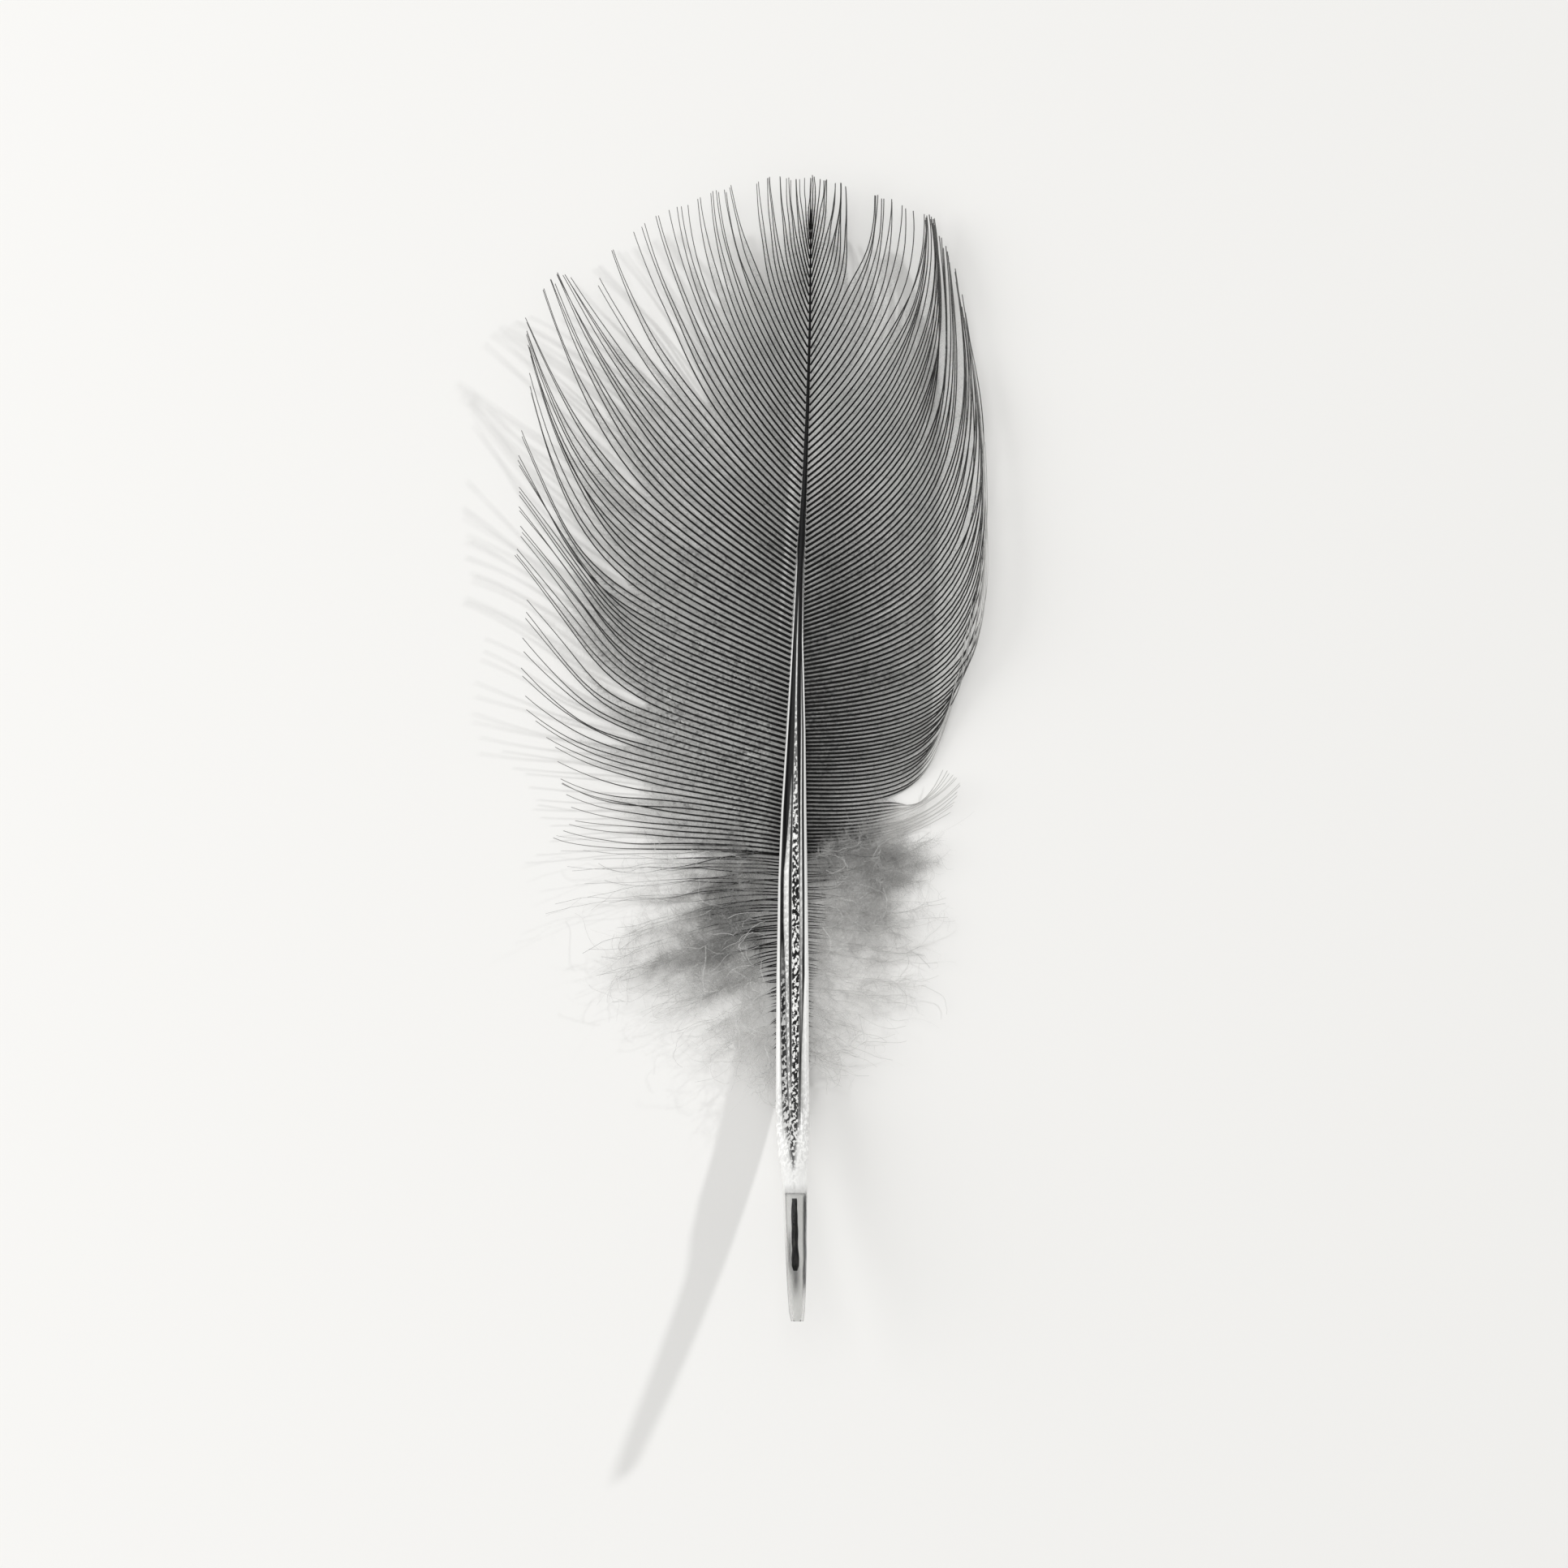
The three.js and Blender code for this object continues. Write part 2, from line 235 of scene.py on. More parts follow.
def rgba(colour: Colour) -> tuple[float, float, float, float]:
    """A colour with its alpha of 1."""
    return (*colour, 1.0)


# ---------------------------------------------------------------- finishes


class Finish:
    """A material that is made once and then worn by several pieces."""

    name = "finish"

    def material(self) -> bpy.types.Material:
        """The finish's material, made when it is first asked for."""
        made = bpy.data.materials.get(self.name)
        if made is None:
            made = bpy.data.materials.new(self.name)
            made.use_nodes = True
            graph = Graph(made.node_tree)
            graph.add("ShaderNodeOutputMaterial", None, {"Surface": self.surface(graph)})
        return made

    def surface(self, graph: Graph) -> Shade:
        """Builds the material's nodes, up to its shader."""
        raise NotImplementedError


@dataclass(frozen=True)
class BarbFinish(Finish):
    """The near-black horn of a barb, greyer where its tone is high, with a fine grain along it."""

    name: str = "barb"
    dark: Colour = (0.003, 0.003, 0.0032)
    pale: Colour = (0.62, 0.615, 0.60)
    roughness: float = 0.62
    gloss: float = 0.05
    grain: float = 4200.0  # waves in a metre
    grain_tone: float = 0.03
    relief: tuple[float, float] = (0.25, 0.00003)  # strength, depth in metres

    def surface(self, graph: Graph) -> Shade:
        """Builds the material's nodes, up to its shader."""
        grain = graph.noise(self.grain)
        shade = (graph.attribute("tone") + (grain - MID) * self.grain_tone).clamped()
        colour = graph.mix(shade, rgba(self.dark), rgba(self.pale))
        return graph.surface(colour, self.roughness, Specular_IOR_Level=self.gloss,
                             Normal=graph.bump(*self.relief, grain))


@dataclass(frozen=True)
class BarbuleFinish(Finish):
    """The thin barbules: dark grey that varies in soft patches, and paler where the tone is high."""

    name: str = "barbule"
    dark: Colour = (0.03, 0.03, 0.031)
    grey: Colour = (0.44, 0.44, 0.43)
    pale: Colour = (0.78, 0.775, 0.76)
    roughness: float = 0.65
    patches: tuple[float, float, float] = (420.0, 0.3, 1.4)  # waves in a metre, noise at no change, contrast
    specks: tuple[float, float, float] = (2600.0, 0.45, 3.4)
    base: float = 0.45
    fading: float = 4.5

    def surface(self, graph: Graph) -> Shade:
        """Builds the material's nodes, up to its shader."""
        patch_scale, patch_middle, patch_contrast = self.patches
        speck_scale, speck_middle, speck_contrast = self.specks
        patch = graph.noise(patch_scale)
        speck = graph.noise(speck_scale, detail=1.0)
        shade = (patch - patch_middle) * patch_contrast + (speck - speck_middle) * speck_contrast + self.base
        body = graph.mix(shade.clamped(), rgba(self.dark), rgba(self.grey))
        colour = graph.mix((graph.attribute("tone") * self.fading).clamped(), body, rgba(self.pale))
        return graph.surface(colour, self.roughness)


@dataclass(frozen=True)
class DownFinish(Finish):
    """The soft fibres of the down, from mid grey to nearly white."""

    name: str = "down fibre"
    dark: Colour = (0.006, 0.006, 0.006)
    pale: Colour = (0.78, 0.775, 0.76)
    roughness: float = 0.75
    gloss: float = 0.1
    grain: float = 900.0  # waves in a metre
    grain_tone: float = 0.06

    def surface(self, graph: Graph) -> Shade:
        """Builds the material's nodes, up to its shader."""
        shade = (graph.attribute("tone") + (graph.noise(self.grain) - MID) * self.grain_tone).clamped()
        colour = graph.mix(shade, rgba(self.dark), rgba(self.pale))
        return graph.surface(colour, self.roughness, Specular_IOR_Level=self.gloss)


@dataclass(frozen=True)
class HornFinish(Finish):
    """The shaft: pale and glossy on its rims, black in its groove, clear on the quill; the quill has dark
    smears, a painted highlight on its left edge and painted shade on its right.
    """

    name: str = "horn"
    black: Colour = (0.004, 0.004, 0.0045)
    white: Colour = (0.93, 0.93, 0.915)
    clear: Colour = (0.86, 0.862, 0.855)
    # dark tint of the quill, for its smears of pulp and for the painted shade along its right edge
    smear_and_shade: Colour = (0.05, 0.05, 0.052)
    roughness: float = 0.42
    gloss: float = 0.25
    coat: tuple[float, float] = (0.3, 0.2)  # weight on the pale parts, roughness
    stroke_scale: float = 430.0
    stroke_turn: float = -0.85
    stroke_share: float = 0.14
    crumb_scale: float = 4200.0
    crumb_share: float = 0.86
    fleck_step: tuple[float, float] = (0.485, 0.56)  # where the pattern turns from black to white
    relief: tuple[float, float] = (0.35, 0.00005)  # strength, depth in metres
    streak_scale: float = 700.0
    streak_gain: float = 1.8
    streak_least: float = 0.1
    quill_roughness: float = 0.1
    quill_bending: float = 1.2

    def surface(self, graph: Graph) -> Shade:
        """Builds the material's nodes, up to its shader."""
        stroke = graph.strokes(self.stroke_scale, self.stroke_turn)
        crumb = graph.noise(self.crumb_scale, (1.0, 0.5, 1.0), 2.0)
        flecks = graph.value("ShaderNodeMapRange", {"interpolation_type": "SMOOTHSTEP"}, {
            "Value": stroke * self.stroke_share + crumb * self.crumb_share,
            "From Min": self.fleck_step[0], "From Max": self.fleck_step[1]})
        edge = graph.attribute("pale") * (1.0 - graph.attribute("mottle") * (1.0 - flecks))
        colour = graph.mix(edge, rgba(self.black), rgba(self.white))
        horn = graph.surface(colour, self.roughness, Normal=graph.bump(*self.relief, crumb),
                             Specular_IOR_Level=self.gloss, Coat_Weight=edge * self.coat[0],
                             Coat_Roughness=self.coat[1])
        streak = graph.noise(self.streak_scale, (1.0, 0.12, 1.0))
        # the quill's dark tint: real smears of pulp, and a painted shade along its right edge
        stain_and_shade = (graph.attribute("smear_and_shade") * (streak * self.streak_gain + self.streak_least)).clamped()
        tint = graph.mix(stain_and_shade, rgba(self.clear), rgba(self.smear_and_shade))
        quill = graph.surface(tint, self.quill_roughness, Transmission_Weight=1.0, IOR=self.quill_bending)
        return graph.value("ShaderNodeMixShader", None, {0: graph.attribute("clear"), 1: horn, 2: quill})


@dataclass(frozen=True)
class PulpFinish(Finish):
    """The dried core of the quill: black, dry and crumpled."""

    name: str = "dried pulp"
    black: Colour = (0.006, 0.006, 0.006)
    grey: Colour = (0.10, 0.10, 0.095)
    roughness: float = 0.8
    crease_scale: float = 2200.0
    crease_contrast: float = 2.5
    relief: tuple[float, float] = (0.6, 0.00005)  # strength, depth in metres

    def surface(self, graph: Graph) -> Shade:
        """Builds the material's nodes, up to its shader."""
        crease = graph.noise(self.crease_scale, (1.0, 0.4, 1.0))
        shade = ((crease - MID) * self.crease_contrast).clamped()
        colour = graph.mix(shade, rgba(self.black), rgba(self.grey))
        return graph.surface(colour, self.roughness, Normal=graph.bump(*self.relief, crease))


@dataclass(frozen=True)
class FloorFinish(Finish):
    """A plain pale floor."""

    name: str = "floor"
    colour: Colour = (0.86, 0.855, 0.84)
    roughness: float = 0.9

    def surface(self, graph: Graph) -> Shade:
        """Builds the material's nodes, up to its shader."""
        return graph.surface(rgba(self.colour), self.roughness)


# ---------------------------------------------------------------- the lie of the feather


class Side(Enum):
    """The two sides of the shaft."""

    LEFT = -1
    RIGHT = 1


@dataclass(frozen=True)
class Lie:
    """Where the shaft runs and how high each place of the feather stands."""

    shaft: tuple[tuple[float, float, float], ...] = (  # y, x of the middle line, width
        (61.5, 6.41, 0.12), (57.0, 6.38, 0.18), (48.4, 6.30, 0.28), (39.1, 6.04, 0.40), (29.8, 5.67, 0.56),
        (20.5, 5.15, 0.93), (12.2, 4.90, 1.36), (2.0, 4.72, 2.15), (-7.3, 4.46, 2.88),
        (-15.7, 4.35, 3.36), (-25.9, 4.33, 3.70), (-35.2, 4.30, 3.78), (-43.5, 4.34, 3.86),
        (-46.5, 4.42, 3.50), (-48.5, 4.52, 3.05), (-50.2, 4.60, 2.76), (-54.0, 4.64, 2.60),
        (-57.5, 4.72, 2.43), (-61.2, 4.77, 2.14), (-64.0, 4.80, 1.80), (-65.1, 4.84, 1.40),
    )
    height_ratio: float = 0.86
    rest_foot: float = -22.0
    rest_head: float = 34.0
    quill_lift: float = 11.0
    tip_lift: float = 3.4
    foot: float = -65.1
    head: float = 65.1
    web_rest: float = 0.25
    root_rise: float = 0.65
    root_reach: float = 4.0
    left_curl: Span = (15.0, 0.011)  # how far out the curl starts, how strongly it rises
    right_curl: Span = (13.0, 0.055)

    def shaft_x(self, y: Any) -> Any:
        """Where the shaft's middle line runs."""
        return read(self.shaft, y, 1)[0]

    def shaft_width(self, y: Any) -> Any:
        """How wide the shaft is."""
        return read(self.shaft, y, 2)[0]

    def lift(self, y: Any) -> Any:
        """How far the underside of the shaft stands above the surface."""
        quill = np.clip((self.rest_foot - y) / (self.rest_foot - self.foot), 0, None)
        tip = np.clip((y - self.rest_head) / (self.head - self.rest_head), 0, None)
        return self.quill_lift * quill ** 2 + self.tip_lift * tip ** 2

    def web_height(self, x: Any, y: Any) -> Any:
        """How high the middle of the web stands.

        Args:
            x: places across the feather.
            y: places along it.

        Returns:
            Their heights.
        """
        out = x - self.shaft_x(y)
        start = np.where(out < 0, self.left_curl[0], self.right_curl[0])
        rate = np.where(out < 0, self.left_curl[1], self.right_curl[1])
        past = np.clip(np.abs(out) - start, 0, None)
        root = self.root_rise * np.exp(-((out / self.root_reach) ** 2))
        return self.lift(y) + self.web_rest + root + rate * past ** 2


def smooth(low: float, high: float, value: Any) -> Any:
    """A soft step from 0 at low to 1 at high."""
    share = np.clip((np.asarray(value, float) - low) / (high - low), 0, 1)
    return share * share * (3 - 2 * share)


def read(rows: Sequence[Sequence[float]], y: Any, *columns: int) -> list[Any]:
    """Reads a table whose first column is y, from the tip down.

    Args:
        rows: its rows, with y falling.
        y: where it is read.
        columns: which of its columns are read.

    Returns:
        One value for each column.
    """
    table = np.array(rows)[::-1]
    return [np.interp(y, table[:, 0], table[:, column]) for column in columns]


def in_scene(name: str, data: Any) -> bpy.types.Object:
    """Puts a new object with this mesh, light or camera in the scene."""
    made = bpy.data.objects.new(name, data)
    bpy.context.scene.collection.objects.link(made)
    return made


def wander(rng: np.random.Generator, places: np.ndarray, knots: int) -> np.ndarray:
    """Soft random waves about 0.

    Args:
        rng: the source of the draws.
        places: where the waves are read, from 0 to 1.
        knots: how many random values they pass through.

    Returns:
        One value for each place.
    """
    values = rng.normal(size=knots + 3)
    spot = places * knots
    cell = np.clip(spot.astype(int), 0, knots - 1)
    share = spot - cell
    share = share * share * (3 - 2 * share)
    return values[cell] * (1 - share) + values[cell + 1] * share


# ---------------------------------------------------------------- fibres as meshes


@dataclass
class Fibre:
    """One thin strand: its places and what its mesh and its finish read along it."""

    places: np.ndarray
    girth: np.ndarray
    tone: np.ndarray
    lay_tip: np.ndarray | None = None
    lay_root: np.ndarray | None = None
    film: np.ndarray | None = None


@dataclass(frozen=True)
class FibreTree:
    """A geometry tree that makes strands solid and sets barbules along them."""

    name: str = "fibres"
    least_film: float = 0.04  # no barbules grow where the film is thinner
    lift_jitter: float = 0.4  # how far strays rise, beside how far they swing
    length_range: tuple[float, float] = (0.8, 1.12)
    spike_width: float = 0.0015  # a barbule's width on the UV map
    band_fill: float = 0.45  # how much of its half band a strand or a barbule takes there

    def group(self) -> bpy.types.NodeTree:
        """Builds the tree.

        Returns:
            The node group, with inputs for its sizes and finishes.
        """
        tree = bpy.data.node_groups.new(self.name, "GeometryNodeTree")
        face = tree.interface
        face.new_socket("Geometry", in_out="INPUT", socket_type="NodeSocketGeometry")
        for label, kind in (("Strand Sides", "Int"), ("Barbule Step", "Float"), ("Barbule Width", "Float"),
                            ("Width Spread", "Float"), ("Barbule Stray", "Float"), ("Seed", "Int"),
                            ("Strand Finish", "Material"), ("Barbule Finish", "Material")):
            face.new_socket(label, in_out="INPUT", socket_type="NodeSocket" + kind)
        face.new_socket("Geometry", in_out="OUTPUT", socket_type="NodeSocketGeometry")
        graph = Graph(tree)
        given = graph.add("NodeGroupInput")
        strands = graph.value("GeometryNodeMeshToCurve", None, {"Mesh": given.outputs["Geometry"]})
        tubes = self._tubes(graph, strands, given)
        tips = self._barbules(graph, strands, given, "lay_tip", 0)
        roots = self._barbules(graph, strands, given, "lay_root", 1)
        joined = graph.add("GeometryNodeJoinGeometry")
        for part in (roots, tips, tubes):
            graph.join(joined.inputs[0], part)
        solid = graph.value("GeometryNodeRealizeInstances", None, {"Geometry": joined.outputs[0]})
        solid = self._with_bake_map(graph, solid)
        solid = graph.value("GeometryNodeSetMaterial", None, {
            "Geometry": solid, "Material": given.outputs["Strand Finish"]})
        small = self._named(graph, "barbule").below(0.5)
        solid = graph.value("GeometryNodeSetMaterial", None, {
            "Geometry": solid, "Selection": 1.0 - small, "Material": given.outputs["Barbule Finish"]})
        graph.add("NodeGroupOutput", None, {0: solid})
        return tree

    @staticmethod
    def _named(graph: Graph, name: str, kind: str = "FLOAT") -> Shade:
        """Reads an attribute by its name."""
        return graph.value("GeometryNodeInputNamedAttribute", {"data_type": kind}, {"Name": name})

    @staticmethod
    def _stored(graph: Graph, geometry: Shade, name: str, value: Any, kind: str = "FLOAT",
                domain: str = "POINT") -> Shade:
        """Writes an attribute by its name."""
        return graph.value("GeometryNodeStoreNamedAttribute", {"data_type": kind, "domain": domain},
                           {"Geometry": geometry, "Name": name, "Value": value})

    def _tubes(self, graph: Graph, strands: Shade, given: bpy.types.Node) -> Shade:
        """The strands as closed tubes."""
        ring = graph.value("GeometryNodeCurvePrimitiveCircle", None, {
            "Resolution": given.outputs["Strand Sides"], "Radius": 1.0})
        place = graph.add("GeometryNodeInputPosition")
        split = graph.add("ShaderNodeSeparateXYZ", None, {0: place.outputs[0]})
        around = Shade(graph, split.outputs[0]) * 0.3 + Shade(graph, split.outputs[1]) * 0.15 + 0.5
        ring = self._stored(graph, ring, "around", around)
        return graph.value("GeometryNodeCurveToMesh", None, {
            "Curve": strands, "Profile Curve": ring, "Scale": self._named(graph, "girth"), "Fill Caps": True})

    def _barbules(self, graph: Graph, strands: Shade, given: bpy.types.Node, lay: str, row: int) -> Shade:
        """Barbules along the strands, each a thin spike.

        Args:
            graph: the tree's graph.
            strands: the curves that they grow on.
            given: the tree's inputs.
            lay: the attribute that holds their way and length.
            row: 0 for the barbules toward the feather's tip and 1 for those toward its quill.

        Returns:
            The barbules as instances.
        """
        points = graph.value("GeometryNodeResampleCurve", {"mode": "LENGTH"}, {
            "Curve": strands, "Length": given.outputs["Barbule Step"]})
        spike = graph.value("GeometryNodeMeshCone", None, {
            "Vertices": 3, "Side Segments": 1, "Fill Segments": 1, "Radius Top": 0.0,
            "Radius Bottom": 1.0, "Depth": 1.0})
        place = graph.add("GeometryNodeInputPosition")
        split = graph.add("ShaderNodeSeparateXYZ", None, {0: place.outputs[0]})
        spike = self._stored(graph, spike, "spike_x", Shade(graph, split.outputs[0]))
        rise = Shade(graph, split.outputs[2]) + Shade(graph, split.outputs[1]) * 0.1
        spike = self._stored(graph, spike, "spike_rise", rise)
        spike = self._stored(graph, spike, "barbule", 1.0 + float(row))
        way = self._named(graph, lay, "FLOAT_VECTOR")
        length = graph.value("ShaderNodeVectorMath", {"operation": "LENGTH"}, {0: way}, "Value")
        aside = graph.value("FunctionNodeRandomValue", {"data_type": "FLOAT_VECTOR"}, {
            0: (-1.0, -1.0, -self.lift_jitter), 1: (1.0, 1.0, self.lift_jitter), "Seed": row + 9})
        aside = graph.value("ShaderNodeVectorMath", {"operation": "SCALE"}, {
            0: aside, "Scale": length * Shade(graph, given.outputs["Barbule Stray"])})
        way = graph.value("ShaderNodeVectorMath", {"operation": "ADD"}, {0: way, 1: aside})
        turn = graph.value("FunctionNodeAlignRotationToVector", {"axis": "Z"}, {"Vector": way})
        seed = graph.value("FunctionNodeRandomValue", {"data_type": "FLOAT"}, {
            2: 1.0, 3: 2.0, "Seed": given.outputs["Seed"]}, 1)
        film = self._named(graph, "film")
        spread = Shade(graph, given.outputs["Width Spread"])
        width = Shade(graph, given.outputs["Barbule Width"]) * film * (1.0 + (seed - 1.5) * spread)
        uneven = graph.value("FunctionNodeRandomValue", {"data_type": "FLOAT"}, {
            2: self.length_range[0], 3: self.length_range[1], "Seed": row + 5}, 1)
        scale = graph.value("ShaderNodeCombineXYZ", None, {0: width, 1: width, 2: length * uneven})
        chosen = graph.value("FunctionNodeCompare", {"data_type": "FLOAT", "operation": "GREATER_THAN"}, {
            0: film, 1: self.least_film})
        return graph.value("GeometryNodeInstanceOnPoints", None, {
            "Points": points, "Selection": chosen, "Instance": spike, "Rotation": turn, "Scale": scale})

    def _with_bake_map(self, graph: Graph, solid: Shade) -> Shade:
        """Lays each strand and each barbule out in a place of its own on the piece's UV map."""
        along, band, height = (self._named(graph, n) for n in ("bake_u", "bake_v", "bake_h"))
        kind = self._named(graph, "barbule")
        small = 1.0 - kind.below(0.5)
        u = along + small * self._named(graph, "spike_x") * self.spike_width
        strand_v = band * 0.5 + self._named(graph, "around") * height * self.band_fill
        rise = self._named(graph, "spike_rise") * 0.4 + (kind - 1.0) * 0.5
        barbule_v = 0.5 + band * 0.5 + rise * height * self.band_fill
        v = strand_v + small * (barbule_v - strand_v)
        place = graph.value("ShaderNodeCombineXYZ", None, {0: u, 1: v})
        return self._stored(graph, solid, "OFBake", place, "FLOAT2", "CORNER")


@dataclass(frozen=True)
class FibreMesher:
    """Turns strands into one finished piece."""

    tree: bpy.types.NodeTree
    strand_finish: Finish
    barbule_finish: Finish
    sides: int = 4
    step: float = 0.115
    width: float = 0.032
    spread: float = 1.5
    stray: float = 0.0
    seed: int = 1

    def piece(self, name: str, fibres: Sequence[Fibre]) -> bpy.types.Object:
        """Makes a piece.

        Args:
            name: the piece's name.
            fibres: its strands, in millimetres.

        Returns:
            The piece as a plain mesh at the origin.
        """
        guide = in_scene(name + "_guide", self._guide(name, fibres))
        modifier = guide.modifiers.new("fibres", "NODES")
        modifier.node_group = self.tree
        given = {"Strand Sides": self.sides, "Barbule Step": self.step * MM, "Barbule Width": self.width * MM,
                 "Width Spread": self.spread, "Barbule Stray": self.stray, "Seed": self.seed,
                 "Strand Finish": self.strand_finish.material(),
                 "Barbule Finish": self.barbule_finish.material()}
        for item in self.tree.interface.items_tree:
            if item.in_out == "INPUT" and item.name in given:
                modifier[item.identifier] = given[item.name]
        bpy.context.view_layer.update()
        graph = bpy.context.evaluated_depsgraph_get()
        solid = bpy.data.meshes.new_from_object(
            guide.evaluated_get(graph), preserve_all_data_layers=True, depsgraph=graph)
        solid.name = name
        for spare in ("lay_tip", "lay_root", "film", "girth", "around", "spike_x", "spike_rise",
                      "bake_u", "bake_v", "bake_h", "barbule"):
            if spare in solid.attributes:
                solid.attributes.remove(solid.attributes[spare])
        piece = in_scene(name, solid)
        bpy.data.objects.remove(guide)
        return piece

    @staticmethod
    def _guide(name: str, fibres: Sequence[Fibre]) -> bpy.types.Mesh:
        """The strands as edges, with their attributes at each point."""
        counts = [len(f.places) for f in fibres]
        starts = np.concatenate([[0], np.cumsum(counts)[:-1]])
        edges = np.concatenate([np.stack([np.arange(s, s + n - 1), np.arange(s + 1, s + n)], 1)
                                for s, n in zip(starts, counts)])
        mesh = bpy.data.meshes.new(name + "_guide")
        mesh.from_pydata((np.concatenate([f.places for f in fibres]) * MM).tolist(), edges.tolist(), [])
        bare = [(np.zeros(n), np.zeros((n, 3)), np.zeros((n, 3))) for n in counts]
        given = [(f.film, f.lay_tip, f.lay_root) for f in fibres]
        film, lay_tip, lay_root = (
            np.concatenate([none[c] if own[c] is None else own[c] for own, none in zip(given, bare)])
            for c in range(3))
        rows = {
            "girth": np.concatenate([f.girth for f in fibres]) * MM,
            "tone": np.concatenate([f.tone for f in fibres]),
            "film": film,
            "bake_u": np.concatenate([np.linspace(0.01, 0.99, n) for n in counts]),
            "bake_v": np.repeat(np.arange(len(fibres)) / len(fibres), counts),
            "bake_h": np.full(sum(counts), 1.0 / len(fibres)),
            "lay_tip": lay_tip * MM,
            "lay_root": lay_root * MM,
        }
        for key, values in rows.items():
            vector = values.ndim == 2
            made = mesh.attributes.new(key, "FLOAT_VECTOR" if vector else "FLOAT", "POINT")
            made.data.foreach_set("vector" if vector else "value", values.astype(np.float32).ravel())
        return mesh


# ---------------------------------------------------------------- the web


@dataclass(frozen=True)
class Barb:
    """One barb in plan, in millimetres and degrees.

    It crosses the shaft's middle line at root, and ends at tip, where it points tip_angle from +Y.
    """

    root: float
    tip: tuple[float, float]
    tip_angle: float


@dataclass(frozen=True)
class Run:
    """How the barbs of one side leave the shaft and reach their tips.

    Each station is y, the angle from +Y at which a barb leaves there, and for how much of the
    straight line from root to tip it holds that way and is then drawn into its tip's way.
    """

    stations: tuple[tuple[float, float, float, float], ...]

    def row(self, keys: Sequence[Barb], root: float, lie: Lie) -> np.ndarray:
        """Works out one barb.

        Args:
            keys: the stated barbs that it lies among.
            root: where it crosses the shaft's middle line.
            lie: where the shaft runs.

        Returns:
            Its root, angle, reach, tip, tip's angle and tip's reach.
        """
        stated = [(key.root, *key.tip, key.tip_angle) for key in keys]
        tip_x, tip_y, tip_angle = read(stated, root, 1, 2, 3)
        angle, hold, draw = read(self.stations, root, 1, 2, 3)
        length = np.hypot(tip_x - lie.shaft_x(root), tip_y - root)
        return np.array([root, angle, hold * length, tip_x, tip_y, tip_angle, draw * length])


TINY = 1e-9
FAR_OFF = 9.0
CURVE_STEPS = 240
ROOT_PLACE = 0.45  # where barbs leave the shaft, in its widths from its middle line
PLACE_POWER = 0.9  # under 1, a barb's places lie closer together toward its tip


def barb_curve(row: np.ndarray, side: Side, lie: Lie, steps: int) -> np.ndarray:
    """A barb's places in plan, from the side of the shaft to its tip.

    Args:
        row: its root, angle, reach, tip, tip's angle and tip's reach.
        side: the side of the shaft that it grows on.
        lie: where the shaft runs.
        steps: how many places it gets.

    Returns:
        Its places.
    """
    root, angle, reach, tip_x, tip_y, tip_angle, tip_reach = row
    toward = [np.array([side.value * np.sin(a), np.cos(a)]) for a in np.radians([angle, tip_angle])]
    start = np.array([float(lie.shaft_x(root)), root])
    end = np.array([tip_x, tip_y])
    leave, arrive = start + toward[0] * reach, end - toward[1] * tip_reach
    fine = np.linspace(0, 1, CURVE_STEPS)[:, None]
    run = ((1 - fine) ** 3 * start + 3 * (1 - fine) ** 2 * fine * leave
           + 3 * (1 - fine) * fine ** 2 * arrive + fine ** 3 * end)
    clear = np.abs(run[:, 0] - lie.shaft_x(run[:, 1])) > lie.shaft_width(run[:, 1]) * ROOT_PLACE
    run = run[int(np.argmax(clear)):]
    length = np.concatenate([[0], np.cumsum(np.linalg.norm(np.diff(run, axis=0), axis=1))])
    even = np.linspace(0, 1, steps) ** PLACE_POWER * length[-1]
    return np.stack([np.interp(even, length, run[:, c]) for c in range(2)], 1)


@dataclass(frozen=True)
class Lock:
    """A run of barbs that hold together, between two open splits of the web."""

    name: str
    keys: tuple[Barb, ...]
    bunch: float = 0.35
    bunch_from: float = 0.5


LEFT_RUN = Run((
    (58, 4, 0.3, 0.3), (44, 34, 0.3, 0.35), (28, 49, 0.3, 0.32), (20, 54, 0.44, 0.4), (12, 64, 0.48, 0.45),
    (6, 70, 0.58, 0.53), (-2, 75, 0.7, 0.47), (-6, 72, 0.46, 0.35), (-13, 78, 0.28, 0.22),
    (-18, 83, 0.25, 0.27), (-26, 92, 0.29, 0.29), (-38, 99, 0.6, 0.45),
))
RIGHT_RUN = Run((
    (58, 4, 0.3, 0.3), (44, 32, 0.42, 0.36), (36, 46, 0.36, 0.35), (30, 55, 0.3, 0.36), (22, 58, 0.45, 0.5),
    (14, 73, 0.42, 0.55), (7, 85, 0.5, 0.6), (2, 89, 0.6, 0.56), (-6, 94, 0.75, 0.42), (-8, 93, 0.55, 0.28),
    (-13, 89, 0.4, 0.32), (-25, 92, 0.33, 0.33), (-36, 104, 0.45, 0.45),
))
